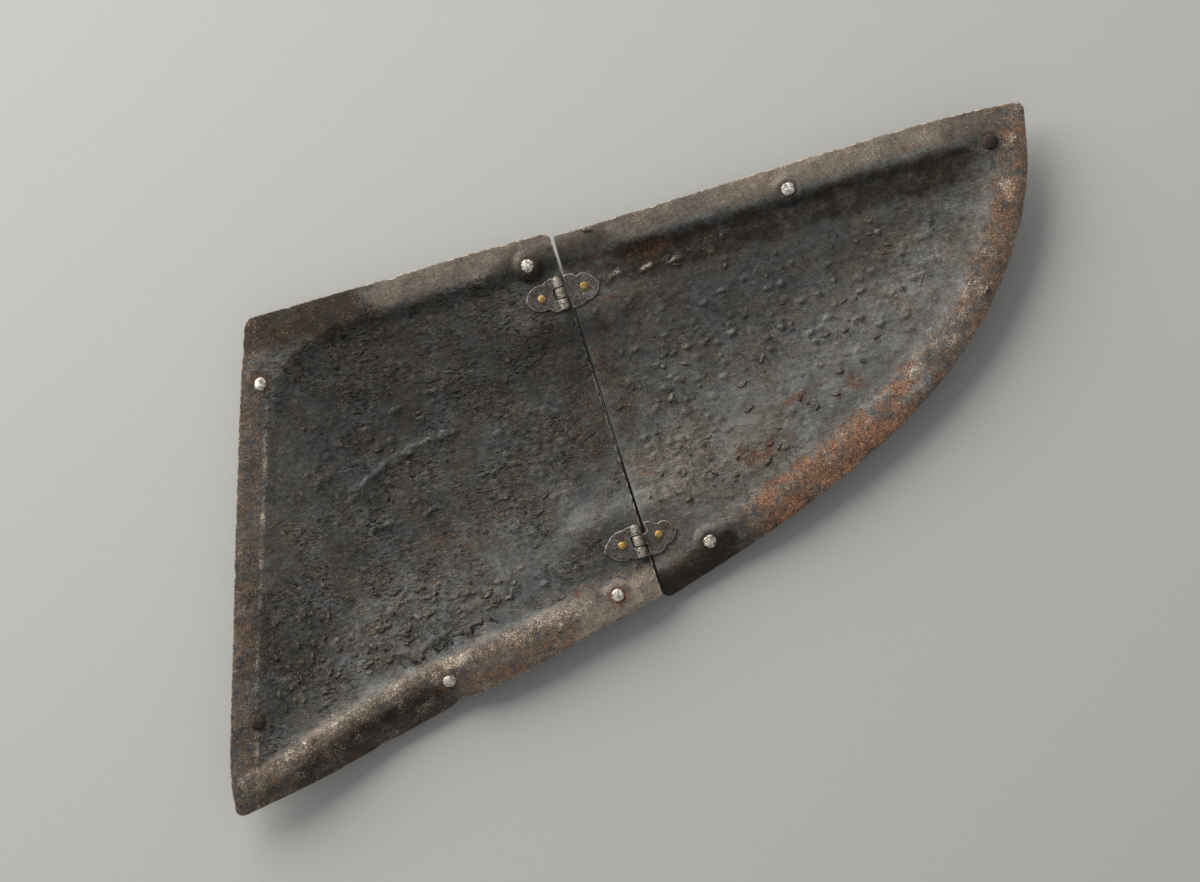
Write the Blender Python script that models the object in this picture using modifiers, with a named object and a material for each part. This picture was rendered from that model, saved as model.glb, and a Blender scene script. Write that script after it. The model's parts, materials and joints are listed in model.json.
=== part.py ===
# Crinet side panel: two dished iron plates joined edge to edge by two small hinges.
# It lies with its hollow side up. +X runs along the panel to the pointed end, +Y across it to the
# straight edge, and +Z up. The origin is on the floor, under the middle of the panel.
# The pointed plate folds up about the hinge pins, which lie along Y just above the plates.
# Lengths are in millimetres until a mesh is made from them.
import math

import bpy
import bmesh
import numpy as np
from mathutils import Matrix, Vector
from mathutils.geometry import delaunay_2d_cdt

MM = 0.001

# Plates
SHEET = 1.6                # thickness of the iron sheet
DISH_DEPTH = 15.5          # how far the middle lies below the foot of the border step
DISH_REACH = 86.0          # distance in from the crest where the bottom of the dish is flat
SHELF_ENDS = 105.0         # nearer than this to the pins the dish starts to level out for the hinges
SHELF_BLEND = 70.0
STEP_WIDTH = 12.0          # width of the step down from the crest into the dish
FLANGE_WIDTH = 16.0        # usual distance from the crest out to the edge
END_LIFT = 10.0            # rise of the far ends of the panel
END_LIFT_START = 120.0     # distance from the middle where that rise starts
END_LIFT_SPAN = 186.0      # length over which it grows

# Height of each crest above the foot of its step, and how far the edge outside it is turned down
TOP_STEP = 6.2
TOP_TURN = 2.5
LEFT_STEP = 2.0
LEFT_TURN = 2.0

# Seam between the plates
SEAM_X = -5.0
SEAM_GAP = 1.2
SEAM_GAP_TOP = 2.2         # the seam opens towards the straight edge, so that the border clears as it folds
SEAM_OPENS_AT = 118.0
SEAM_TOP = 146.2

# Hinges
PIN_X = -10.0
PIN_RADIUS = 1.4
BORE_RADIUS = 1.75
BARREL_RADIUS = 3.1
BARREL_SIDES = 16
PIN_SIDES = 12
LEAF_THICKNESS = 1.2
PIECE_GAP = 0.3            # clearance between separate pieces that lie on each other
HINGE_HALF_WIDTH = 10.8
TONGUE_HALF_WIDTH = 3.5
TONGUE_CLEARANCE = 0.35
SEAT_HEIGHT = 15.6         # level of the flat seats that the leaves lie on
SEAT_HALF_WIDTH = 11.8
SEAT_REACH_BROAD = 26.0    # how far the seats reach from the pin
SEAT_REACH_POINTED = 29.0
SEAT_BLEND = 22.0
PIN_Z = SEAT_HEIGHT + PIECE_GAP + BARREL_RADIUS

# columns: name, y of the hinge, distances of its broad and its pointed rivet from the pin
HINGES = (
    ("upper", 106.7, 12.6, 15.8),
    ("lower", -59.3, 10.6, 13.8),
)

# Half outlines of the leaves, as distances from the pin
# columns: start, half width there, cusp, half width there, lobe centre, lobe radius, tip
BROAD_LEAF = (0.6, 10.8, 9.3, 8.0, 13.4, 8.6, 23.4)
POINTED_LEAF = (4.7, 10.6, 12.8, 8.2, 16.8, 8.8, 26.2)

# Rivets that held the lining
# columns: name, plate, x, y, metal
LINING_RIVETS = (
    ("rivet_left_top", "broad", -210.0, 108.5, "white_metal"),
    ("rivet_top_seam", "broad", -25.0, 129.5, "white_metal"),
    ("rivet_bottom_mid", "broad", -152.0, -108.5, "white_metal"),
    ("rivet_bottom_seam", "broad", -33.0, -88.5, "white_metal"),
    ("rivet_left_bottom", "broad", -276.0, -96.5, "rusty_iron"),
    ("rivet_top_mid", "pointed", 148.0, 126.5, "white_metal"),
    ("rivet_curve_seam", "pointed", 33.5, -73.0, "white_metal"),
    ("rivet_tip", "pointed", 279.0, 116.5, "rusty_iron"),
)
RIVET_SIDES = 10
RIVET_HOLE = 2.4
RIVET_SHANK = 1.8
RIVET_SEAT = 5.2           # radius of the flat spot round a lining rivet
RIVET_SEAT_BLEND = 6.0
HINGE_KEEPS_CLEAR = 4.0    # no rivet's spot is raised nearer than this to a hinge's seat
HINGE_RIVET_HOLE = 2.0
HINGE_RIVET_SHANK = 1.5

# Rivet heads
# columns: radius, rise
LINING_HEAD = (4.1, 1.6)
RUSTY_HEAD = (5.0, 2.2)
LINING_OUTER_HEAD = (4.6, 1.8)
BRASS_HEAD = (3.0, 0.9)
BRASS_OUTER_HEAD = (3.4, 1.2)

# Crests of the borders: each runs on past the plates at both ends
# columns: x, y
TOP_CREST = ((-330, 130), (-200, 130.5), (-110, 130.5), (-40, 129), (0, 128.5), (80, 126),
             (180, 124), (280, 121.5), (340, 119))
LEFT_CREST = ((-300, -180), (-288, -135), (-268, -70), (-240, 10), (-205, 110), (-176, 190))
LOWER_CREST = ((297, 160), (290, 125), (282, 99.5), (267, 67.5), (237, 29.5), (197, -4), (147, -30.5),
               (97, -50.5), (47, -66.5), (-5, -79.5), (-53, -84.5), (-103, -91.5), (-153, -97.5),
               (-203, -105.5), (-268, -123.5), (-340, -136))
TOP_LEFT_ROUNDING = 50.0   # how softly the crests run into each other
LOWER_ROUNDING = 24.0

# Edges of the plates, each ending where the next one starts
# columns: x, y
BROAD_TOP = ((-5.9, SEAM_TOP), (-60, 148.1), (-110, 148.9), (-160, 150.0), (-207.8, 151.3))
BROAD_LEFT = ((-207.8, 151.3), (-223.6, 109.5), (-251.6, 29.5), (-278.6, -50.5), (-301.9, -121),
              (-307.1, -152.1))
BROAD_BOTTOM = ((-307.1, -152.1), (-253, -145), (-203, -135.2), (-155, -125.2), (-148, -121.6),
                (-136, -122.6), (-103, -118), (-53, -107.2), (-5.6, -97.4))
POINTED_TOP = ((307.6, 135.2), (267, 139.5), (217, 141.4), (120, 142.4), (-3.9, 142.6))
POINTED_CURVE = ((-4.4, -101.2), (47, -86.9), (97, -71.1), (147, -51.7), (197, -25.4),
                 (242.4, 9.6), (275.4, 49.5), (296.2, 89.5), (307.6, 135.2))

# Radii of the corners, in the order in which the edges end
BROAD_CORNERS = (5.0, 7.0, 5.0, 1.5)
POINTED_CORNERS = (4.0, 5.0, 1.5)

# Height of the lower crest above the foot of its step
# columns: x, height
LOWER_STEP = ((-306, 3.6), (-130, 3.6), (-60, 2.5), (-5, 1.9), (50, 2.6), (120, 3.6), (306, 3.6))

# How far the lower edge is turned down outside its crest
# columns: x, drop
BROAD_TURN = ((-306, 1.0), (-250, 3.5), (-200, 5.0), (-155, 5.0), (-130, 2.0), (-60, 1.2), (-5, 1.0))
POINTED_TURN = ((-5, 7.5), (45, 7.0), (75, 4.0), (120, 3.0), (200, 2.5), (306, 2.0))

# Mesh of the plates
RINGS = (-8.0, 0.0, 4.0, 8.0, 12.0, 22.0, 35.0)    # distances in from the crest
RING_CENTER = (-45.0, 18.0)
RING_SPACING = 14.0
RING_BEND = math.radians(12)
RING_CLEARANCE = 3.5       # a ring keeps this far from the plate's edge and from the seats
FIELD_START = 45.0
FIELD_SPACING = 17.0
SEAT_SURROUND = 9.0        # a line of points this far outside a hinge's seat
LINE_STEP = 4.0

# columns: colour, roughness, metallic
METALS = {
    "plate_iron": ((0.075, 0.070, 0.066, 1), 0.62, 0.75),
    "hinge_steel": ((0.130, 0.125, 0.115, 1), 0.50, 0.85),
    "brass": ((0.550, 0.380, 0.120, 1), 0.42, 0.95),
    "white_metal": ((0.720, 0.700, 0.640, 1), 0.45, 0.90),
    "rusty_iron": ((0.130, 0.075, 0.050, 1), 0.80, 0.30),
}


# Lines in the plane

def smooth_line(rows):
    """A smooth line through the rows, as short straight pieces."""
    points = [np.array(row, float) for row in rows]
    points = [2 * points[0] - points[1]] + points + [2 * points[-1] - points[-2]]
    line = []
    for before, start, end, after in zip(points, points[1:], points[2:], points[3:]):
        length = np.linalg.norm(end - start)
        leave = (end - before) * length / (length + np.linalg.norm(start - before))
        arrive = (after - start) * length / (length + np.linalg.norm(after - end))
        count = max(1, round(length / LINE_STEP))
        for k in range(count):
            t = k / count
            line.append((2 * t**3 - 3 * t**2 + 1) * start + (t**3 - 2 * t**2 + t) * leave
                        + (3 * t**2 - 2 * t**3) * end + (t**3 - t**2) * arrive)
    line.append(points[-2])
    return np.array(line)


def refine(line, step):
    """The line with points added, so that none of its pieces is longer than step."""
    result = []
    for start, end in zip(line, line[1:]):
        count = math.ceil(np.linalg.norm(end - start) / step)
        result += [start + (end - start) * k / count for k in range(count)]
    result.append(line[-1])
    return np.array(result)


def thin_out(line):
    """The points of a line that its shape needs: one after each stretch, and more where it bends."""
    kept = [line[0]]
    turned = 0.0
    for before, point, after in zip(line, line[1:], line[2:]):
        into = point - before
        out = after - point
        turned += abs(math.atan2(into[0] * out[1] - into[1] * out[0], into @ out))
        if np.linalg.norm(point - kept[-1]) >= RING_SPACING or turned >= RING_BEND:
            kept.append(point)
            turned = 0.0
    kept.append(line[-1])
    return np.array(kept)


def corner_arc(first, second, radius, pieces=3):
    """The arc of this radius that rounds the corner where two lines meet."""
    corner = first[-1]
    into = first[np.linalg.norm(first - corner, axis=1) > radius][-1] - corner
    out = second[np.linalg.norm(second - corner, axis=1) > radius][0] - corner
    into /= np.linalg.norm(into)
    out /= np.linalg.norm(out)
    half_angle = math.acos(float(np.clip(into @ out, -1, 1))) / 2
    reach = radius / math.tan(half_angle)
    center = corner + (into + out) / np.linalg.norm(into + out) * radius / math.sin(half_angle)
    start = corner + into * reach - center
    end = corner + out * reach - center
    arc = []
    for k in range(pieces + 1):
        spoke = start * (1 - k / pieces) + end * k / pieces
        arc.append(center + spoke * radius / np.linalg.norm(spoke))
    return np.array(arc)


def closed_outline(sides, radii):
    """Sides that end where the next one starts, joined in a loop with an arc at each corner."""
    arcs = []
    for side, next_side, radius in zip(sides, sides[1:] + sides[:1], radii):
        arcs.append(corner_arc(side, next_side, radius))
    loop = []
    for side, arc_before, arc_after in zip(sides, arcs[-1:] + arcs[:-1], arcs):
        start_reach = np.linalg.norm(arc_before[-1] - side[0]) + 2
        end_reach = np.linalg.norm(arc_after[0] - side[-1]) + 2
        past_start = np.linalg.norm(side - side[0], axis=1) > start_reach
        before_end = np.linalg.norm(side - side[-1], axis=1) > end_reach
        loop += list(side[past_start & before_end]) + list(arc_after)
    return np.array(loop)


def circle(x, y, radius):
    turns = np.arange(RIVET_SIDES) * 2 * math.pi / RIVET_SIDES
    return np.stack([x + radius * np.cos(turns), y + radius * np.sin(turns)], 1)


def close(line):
    return np.vstack([line, line[:1]])


def is_inside(points, loop):
    """Which points lie inside a closed loop."""
    result = np.zeros(len(points), bool)
    for start, end in zip(loop, np.roll(loop, -1, axis=0)):
        if start[1] != end[1]:
            crosses = (start[1] > points[:, 1]) != (end[1] > points[:, 1])
            at = start[0] + (points[:, 1] - start[1]) * (end[0] - start[0]) / (end[1] - start[1])
            result ^= crosses & (points[:, 0] < at)
    return result


def nearest_distance(points, others):
    return np.linalg.norm(points[:, None] - others[None], axis=2).min(1)


def side_distance(points, line):
    """Distance of each point from a line, positive on the right of the line's direction."""
    start = line[:-1]
    along = line[1:] - start
    offset = points[:, None, :] - start[None]
    share = np.clip((offset * along).sum(2) / (along * along).sum(1), 0, 1)
    length = np.linalg.norm(offset - share[..., None] * along, axis=2)
    nearest = length.argmin(1)
    rows = np.arange(len(points))
    side = along[nearest, 1] * offset[rows, nearest, 0] - along[nearest, 0] * offset[rows, nearest, 1]
    return length[rows, nearest] * np.where(side >= 0, 1, -1)


# The surface of the plates

TOP_LINE = smooth_line(TOP_CREST)
LEFT_LINE = smooth_line(LEFT_CREST)
LOWER_LINE = smooth_line(LOWER_CREST)


def soft_min(a, b, radius):
    near = np.clip(radius - np.abs(a - b), 0, None) / radius
    return np.minimum(a, b) - near * near * radius / 4


def smooth_step(t):
    t = np.clip(t, 0, 1)
    return t * t * (3 - 2 * t)


def crest_distances(points):
    """Distances in from the top, left and lower crest, and the smooth least of them."""
    top = side_distance(points, TOP_LINE)
    left = side_distance(points, LEFT_LINE)
    lower = side_distance(points, LOWER_LINE)
    inward = soft_min(soft_min(top, left, TOP_LEFT_ROUNDING), lower, LOWER_ROUNDING)
    return top, left, lower, inward


def free_height(points, plate):
    """Height of a plate's upper face, before the flat seats are hammered into it."""
    top, left, lower, inward = crest_distances(points)
    least = np.minimum(np.minimum(top, left), lower)
    shares = np.exp(-(np.stack([top, left, lower]) - least) / STEP_WIDTH)
    shares /= shares.sum(0)
    turn_rows = np.array(BROAD_TURN if plate == "broad" else POINTED_TURN)
    lower_turn = np.interp(points[:, 0], turn_rows[:, 0], turn_rows[:, 1])
    lower_step = np.interp(points[:, 0], *np.array(LOWER_STEP).T)
    step = shares[0] * TOP_STEP + shares[1] * LEFT_STEP + shares[2] * lower_step
    turn = shares[0] * TOP_TURN + shares[1] * LEFT_TURN + shares[2] * lower_turn

    dish_start = STEP_WIDTH - 2
    way_in = np.clip((inward - dish_start) / (DISH_REACH - dish_start), 0, 1)
    shelf = smooth_step((SHELF_ENDS - np.abs(points[:, 0] - PIN_X)) / SHELF_BLEND)
    dish = DISH_DEPTH * (1 - way_in)**2 * (1 + (1 + shelf) * way_in)
    crest = step * (1 - smooth_step(inward / STEP_WIDTH))
    flange = turn * (np.clip(-inward, 0, None) / FLANGE_WIDTH)**1.6
    lift = END_LIFT * (np.clip(np.abs(points[:, 0]) - END_LIFT_START, 0, None) / END_LIFT_SPAN)**2
    return SHEET + dish + crest - flange + lift


def rivet_plane(plate, x, y):
    """Height and slopes of the flat spot under a lining rivet."""
    reach = RIVET_SEAT
    around = np.array([(x, y), (x - reach, y), (x + reach, y), (x, y - reach), (x, y + reach)])
    z = free_height(around, plate)
    return z[0], (z[2] - z[1]) / (2 * reach), (z[4] - z[3]) / (2 * reach)


def height(points, plate):
    """Height of a plate's upper face, with level seats for the hinges and flat spots for the rivets."""
    z = free_height(points, plate)
    from_hinges = np.full(len(points), np.inf)
    for name, hinge_y, *_ in HINGES:
        past_x = np.maximum(PIN_X - SEAT_REACH_BROAD - points[:, 0],
                            points[:, 0] - PIN_X - SEAT_REACH_POINTED)
        past_y = np.abs(points[:, 1] - hinge_y) - SEAT_HALF_WIDTH
        outside = np.hypot(np.clip(past_x, 0, None), np.clip(past_y, 0, None))
        from_hinges = np.minimum(from_hinges, outside)
        level = 1 - smooth_step(outside / SEAT_BLEND)
        z = z * (1 - level) + SEAT_HEIGHT * level
    for name, on_plate, x, y, metal in LINING_RIVETS:
        if on_plate == plate:
            middle, slope_x, slope_y = rivet_plane(plate, x, y)
            spot = middle + slope_x * (points[:, 0] - x) + slope_y * (points[:, 1] - y)
            outside = np.hypot(points[:, 0] - x, points[:, 1] - y) - RIVET_SEAT
            level = 1 - smooth_step(outside / RIVET_SEAT_BLEND)
            level *= smooth_step(from_hinges / HINGE_KEEPS_CLEAR)
            z = z * (1 - level) + spot * level
    return z


def ring_line(distance):
    """The closed line on both plates at this distance in from the crests."""
    turns = np.linspace(0, 2 * math.pi, 720, endpoint=False)
    rays = np.stack([np.cos(turns), np.sin(turns)], 1)
    near = np.zeros(len(turns))
    far = np.full(len(turns), 420.0)
    for _ in range(24):
        middle = (near + far) / 2
        within = crest_distances(RING_CENTER + rays * middle[:, None])[3] > distance
        near = np.where(within, middle, near)
        far = np.where(within, far, middle)
    return RING_CENTER + rays * near[:, None]


# Plates

def seam_side(plate):
    return -1 if plate == "broad" else 1


def ring_crossings(ring, x):
    """The places y where a ring crosses the line at x."""
    found = []
    for start, end in zip(ring, np.roll(ring, -1, axis=0)):
        if (start[0] - x) * (end[0] - x) < 0:
            found.append(start[1] + (x - start[0]) * (end[1] - start[1]) / (end[0] - start[0]))
    return found


def seam_edge(plate, top, bottom, rings):
    """The plate's edge along the seam, from the top down, with a point where each ring meets it."""
    side = seam_side(plate)
    wanted = [SEAM_OPENS_AT]
    for name, hinge_y, *_ in HINGES:
        wanted += [hinge_y - SEAT_HALF_WIDTH, hinge_y + SEAT_HALF_WIDTH]
    for ring in rings:
        wanted += ring_crossings(ring, SEAM_X + side * SEAM_GAP / 2)
    stops = [top, bottom]
    for y in wanted:
        if bottom < y < top and min(abs(y - stop) for stop in stops) > 2:
            stops.append(y)
    stops.sort(reverse=True)
    places = refine(np.array([(0, y) for y in stops]), FIELD_SPACING)[:, 1]
    opening = (SEAM_GAP_TOP - SEAM_GAP) / 2
    widened = opening * np.clip((places - SEAM_OPENS_AT) / (SEAM_TOP - SEAM_OPENS_AT), 0, None)
    return np.stack([SEAM_X + side * (SEAM_GAP / 2 + widened), places], 1)


def plate_outline(plate, rings):
    if plate == "broad":
        seam = seam_edge(plate, BROAD_TOP[0][1], BROAD_BOTTOM[-1][1], rings)[::-1]
        sides = [seam] + [thin_out(smooth_line(edge)) for edge in (BROAD_TOP, BROAD_LEFT, BROAD_BOTTOM)]
        return closed_outline(sides, BROAD_CORNERS)
    seam = seam_edge(plate, POINTED_TOP[-1][1], POINTED_CURVE[0][1], rings)
    sides = [seam] + [thin_out(smooth_line(edge)) for edge in (POINTED_CURVE, POINTED_TOP)]
    return closed_outline(sides, POINTED_CORNERS)


def hinge_seat(plate, hinge_y, grown=0.0):
    """The border of a hinge's level seat on one plate, from the seam round to the seam."""
    side = seam_side(plate)
    reach = SEAT_REACH_BROAD if plate == "broad" else SEAT_REACH_POINTED
    seam_x = SEAM_X + side * SEAM_GAP / 2
    end_x = PIN_X + side * (reach + grown)
    low = hinge_y - SEAT_HALF_WIDTH - grown
    high = hinge_y + SEAT_HALF_WIDTH + grown
    return refine(np.array([(seam_x, high), (end_x, high), (end_x, low), (seam_x, low)]), RING_SPACING)


def plate_holes(plate):
    """Centres and radii of the holes in a plate."""
    holes = [(x, y, RIVET_HOLE) for name, on_plate, x, y, metal in LINING_RIVETS if on_plate == plate]
    for name, hinge_y, broad_rivet, pointed_rivet in HINGES:
        x = PIN_X - broad_rivet if plate == "broad" else PIN_X + pointed_rivet
        holes.append((x, hinge_y, HINGE_RIVET_HOLE))
    return holes


def unbroken_runs(line, kept):
    """The stretches of a closed line whose points are all kept."""
    first_gap = int(np.argmin(kept))
    stretches = [[]]
    for point, keep in zip(np.roll(line, -first_gap, axis=0), np.roll(kept, -first_gap)):
        if keep:
            stretches[-1].append(point)
        elif stretches[-1]:
            stretches.append([])
    return [np.array(stretch) for stretch in stretches if len(stretch) > 3]


class Drawing:
    """Points in the plane, and the lines between them that a mesh has to follow."""

    def __init__(self):
        self.points = np.zeros((0, 2))
        self.lines = []

    def add(self, line, closed=False):
        first = len(self.points)
        self.points = np.vstack([self.points, line])
        numbers = list(range(first, first + len(line)))
        ends = numbers[1:] + numbers[:1] if closed else numbers[1:]
        self.lines += list(zip(numbers, ends))


def field_points():
    """An even spread of points over the whole panel."""
    field = []
    for number, y in enumerate(np.arange(-150, 151, FIELD_SPACING * 0.87)):
        shift = FIELD_SPACING / 2 if number % 2 else 0
        field += [(x + shift, y) for x in np.arange(-306, 306, FIELD_SPACING)]
    return np.array(field)


def plate_drawing(plate, rings):
    """The plate in plan: its outline, holes and seats, the lines along its border, and field points."""
    outline = plate_outline(plate, rings)
    spots = [circle(x, y, RIVET_SEAT) for name, on_plate, x, y, metal in LINING_RIVETS if on_plate == plate]
    seats = [hinge_seat(plate, hinge_y) for name, hinge_y, *_ in HINGES]
    drawing = Drawing()
    drawing.add(outline, closed=True)
    for x, y, radius in plate_holes(plate):
        drawing.add(circle(x, y, radius), closed=True)
    for spot in spots:
        drawing.add(spot, closed=True)
    for seat in seats:
        drawing.add(seat[1:-1])

    fixed = np.vstack([refine(close(outline), 3.0)] + [refine(close(loop), 3.0) for loop in spots + seats])

    def is_free(points, clearance):
        free = is_inside(points, outline) & (nearest_distance(points, fixed) > clearance)
        for loop in spots + seats:
            free &= ~is_inside(points, loop)
        return free

    for ring in rings:
        for run in unbroken_runs(ring, is_free(ring, RING_CLEARANCE)):
            drawing.add(thin_out(run))
    loose = [hinge_seat(plate, hinge_y, SEAT_SURROUND)[1:-1] for name, hinge_y, *_ in HINGES]
    field = field_points()
    loose.append(field[crest_distances(field)[3] > FIELD_START])
    for points in loose:
        free = is_free(points, RING_CLEARANCE)
        free &= nearest_distance(points, drawing.points) > FIELD_SPACING * 0.4
        drawing.points = np.vstack([drawing.points, points[free]])
    return drawing, outline


def tidy_mesh(mesh):
    """Drops loose points and turns every face upwards."""
    bm = bmesh.new()
    bm.from_mesh(mesh)
    bmesh.ops.delete(bm, geom=[vertex for vertex in bm.verts if not vertex.link_faces], context="VERTS")
    for face in bm.faces:
        if face.normal.z < 0:
            face.normal_flip()
    bm.to_mesh(mesh)
    bm.free()


def add_object(name, mesh, collection):
    obj = bpy.data.objects.new(name, mesh)
    collection.objects.link(obj)
    return obj


def dished_plate(plate, rings):
    """A plate: its upper face as a mesh in plan, raised to its height, then given its thickness."""
    drawing, outline = plate_drawing(plate, rings)
    corners = [Vector(point) for point in drawing.points]
    corners, _, faces, *_ = delaunay_2d_cdt(corners, drawing.lines, [], 0, 0.0001)
    corners = np.array([tuple(corner) for corner in corners])
    centers = np.array([corners[list(face)].mean(0) for face in faces])
    solid = is_inside(centers, outline)
    for x, y, radius in plate_holes(plate):
        solid &= np.hypot(centers[:, 0] - x, centers[:, 1] - y) > radius
    vertices = [(x * MM, y * MM, z * MM) for (x, y), z in zip(corners, height(corners, plate))]
    mesh = bpy.data.meshes.new(plate + "_plate")
    mesh.from_pydata(vertices, [], [face for face, keep in zip(faces, solid) if keep])
    tidy_mesh(mesh)
    obj = add_object(plate + "_plate", mesh, parts)
    sheet = obj.modifiers.new("sheet", "SOLIDIFY")
    sheet.thickness = SHEET * MM
    sheet.offset = -1
    paint(obj, "plate_iron")
    return obj


# Rivets

def dome(radius, rise, pieces=3):
    """Profile of a low dome on height 0, from its crown to its rim."""
    turns = [k / pieces * math.pi / 2 for k in range(pieces + 1)]
    return [(radius * math.sin(turn), rise * math.cos(turn)) for turn in turns]


def rivet(name, location, normal, shank, grip, upper_head, lower_head, metal):
    """A rivet turned about the normal at its location, through a thickness of grip below it."""
    profile = [(radius, PIECE_GAP + z) for radius, z in dome(*upper_head)]
    profile += [(shank, PIECE_GAP), (shank, -grip - PIECE_GAP)]
    profile += [(radius, -grip - PIECE_GAP - z) for radius, z in reversed(dome(*lower_head))]
    mesh = bpy.data.meshes.new(name)
    mesh.from_pydata([(radius * MM, 0, z * MM) for radius, z in profile],
                     [(k, k + 1) for k in range(len(profile) - 1)], [])
    obj = add_object(name, mesh, parts)
    obj.location = Vector(location) * MM
    obj.rotation_mode = "QUATERNION"
    obj.rotation_quaternion = Vector((0, 0, 1)).rotation_difference(Vector(normal))
    turn = obj.modifiers.new("turn", "SCREW")
    turn.steps = RIVET_SIDES
    turn.render_steps = RIVET_SIDES
    turn.use_merge_vertices = True
    turn.merge_threshold = 0.00001
    paint(obj, metal)
    return obj


def lining_rivet(name, plate, x, y, metal):
    z, slope_x, slope_y = rivet_plane(plate, x, y)
    head = RUSTY_HEAD if metal == "rusty_iron" else LINING_HEAD
    return rivet(name, (x, y, z), (-slope_x, -slope_y, 1), RIVET_SHANK, SHEET, head,
                 LINING_OUTER_HEAD, metal)


def hinge_rivet(name, x, y):
    top = SEAT_HEIGHT + PIECE_GAP + LEAF_THICKNESS
    grip = PIECE_GAP + LEAF_THICKNESS + SHEET
    return rivet(name, (x, y, top), (0, 0, 1), HINGE_RIVET_SHANK, grip, BRASS_HEAD,
                 BRASS_OUTER_HEAD, "brass")


# Hinges, each drawn about its own pin, with the leaves' lower face at height 0

def half_leaf(start, start_half, cusp, cusp_half, lobe_center, lobe_radius, tip):
    """Half outline of a leaf from its knuckles out: a shoulder, a cusp, a round lobe and a point."""
    line = []
    for k in range(5):
        turn = k / 5 * math.pi / 2
        line.append((start + (cusp - start) * math.sin(turn),
                     cusp_half + (start_half - cusp_half) * math.cos(turn)))
    first = math.acos((cusp - lobe_center) / lobe_radius)
    last = math.radians(24)
    for k in range(8):
        turn = first + (last - first) * k / 7
        line.append((lobe_center + lobe_radius * math.cos(turn), lobe_radius * math.sin(turn)))
    line.append((tip - 1.0, 1.0))
    line.append((tip, 0.0))
    return line


def flat_leaf(name, outline, rivet_x):
    """The flat part of a leaf, with the hole for its rivet."""
    curve = bpy.data.curves.new(name, "CURVE")
    curve.dimensions = "2D"
    curve.fill_mode = "BOTH"
    curve.extrude = LEAF_THICKNESS * MM / 2
    for loop in (outline, circle(rivet_x, 0, HINGE_RIVET_HOLE)):
        spline = curve.splines.new("POLY")
        spline.points.add(len(loop) - 1)
        for point, (x, y) in zip(spline.points, loop):
            point.co = (x * MM, y * MM, 0, 1)
        spline.use_cyclic_u = True
    drawn = add_object(name + "_drawing", curve, bpy.context.scene.collection)
    drawn.location.z = LEAF_THICKNESS * MM / 2
    bpy.context.view_layer.update()
    mesh = bpy.data.meshes.new_from_object(drawn.evaluated_get(bpy.context.evaluated_depsgraph_get()))
    mesh.name = name
    mesh.transform(drawn.matrix_world)
    bpy.data.objects.remove(drawn)
    bm = bmesh.new()
    bm.from_mesh(mesh)
    bmesh.ops.remove_doubles(bm, verts=bm.verts, dist=0.00001)
    bm.to_mesh(mesh)
    bm.free()
    return add_object(name, mesh, parts)


def rod(name, radius, low_y, high_y, sides, collection):
    """A cylinder along the pin's axis, with one of its flats below."""
    bm = bmesh.new()
    bmesh.ops.create_cone(bm, cap_ends=True, segments=sides, radius1=radius * MM, radius2=radius * MM,
                          depth=(high_y - low_y) * MM)
    flat_below = Matrix.Rotation(math.pi / sides, 4, "Z")
    lying = Matrix.Rotation(math.pi / 2, 4, "X")
    placed = Matrix.Translation((0, (low_y + high_y) / 2 * MM, BARREL_RADIUS * MM))
    bmesh.ops.transform(bm, matrix=placed @ lying @ flat_below, verts=bm.verts)
    mesh = bpy.data.meshes.new(name)
    bm.to_mesh(mesh)
    bm.free()
    return add_object(name, mesh, collection)


def combine(obj, tool, operation):
    tool.hide_render = True
    tool.display_type = "WIRE"
    change = obj.modifiers.new(operation.lower(), "BOOLEAN")
    change.operation = operation
    change.solver = "EXACT"
    change.object = tool


def roll_knuckles(leaf, spans):
    """Adds the knuckles between these places along the pin, and bores them for it."""
    for low, high in spans:
        barrel = rod(leaf.name + "_barrel", BARREL_RADIUS, low, high, BARREL_SIDES, cutters)
        combine(leaf, barrel, "UNION")
    reach = HINGE_HALF_WIDTH + 1
    combine(leaf, rod(leaf.name + "_bore", BORE_RADIUS, -reach, reach, BARREL_SIDES, cutters), "DIFFERENCE")


def broad_leaf(name, rivet_distance):
    """The leaf with two knuckles, and a slot between them for the other leaf's tongue."""
    slot_half = TONGUE_HALF_WIDTH + TONGUE_CLEARANCE
    slot_end = -BARREL_RADIUS - TONGUE_CLEARANCE - 1.0
    half = [(-x, y) for x, y in half_leaf(*BROAD_LEAF)]
    knuckle_x = half[0][0]
    outline = half + [(x, -y) for x, y in reversed(half[:-1])]
    outline += [(knuckle_x, -slot_half), (slot_end, -slot_half), (slot_end, slot_half), (knuckle_x, slot_half)]
    leaf = flat_leaf(name, outline, -rivet_distance)
    inset = 0.02
    outer = HINGE_HALF_WIDTH - inset
    inner = slot_half + inset
    roll_knuckles(leaf, ((-outer, -inner), (inner, outer)))
    return leaf


def pointed_leaf(name, rivet_distance):
    """The leaf with one tongue, which reaches over the seam and rolls round the pin."""
    tongue_end = -0.6
    half = half_leaf(*POINTED_LEAF)
    straight_x = half[0][0]
    outline = half + [(x, -y) for x, y in reversed(half[:-1])]
    outline += [(straight_x, -TONGUE_HALF_WIDTH), (tongue_end, -TONGUE_HALF_WIDTH),
                (tongue_end, TONGUE_HALF_WIDTH), (straight_x, TONGUE_HALF_WIDTH)]
    leaf = flat_leaf(name, outline, rivet_distance)
    reach = TONGUE_HALF_WIDTH - 0.02
    roll_knuckles(leaf, ((-reach, reach),))
    return leaf


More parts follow.
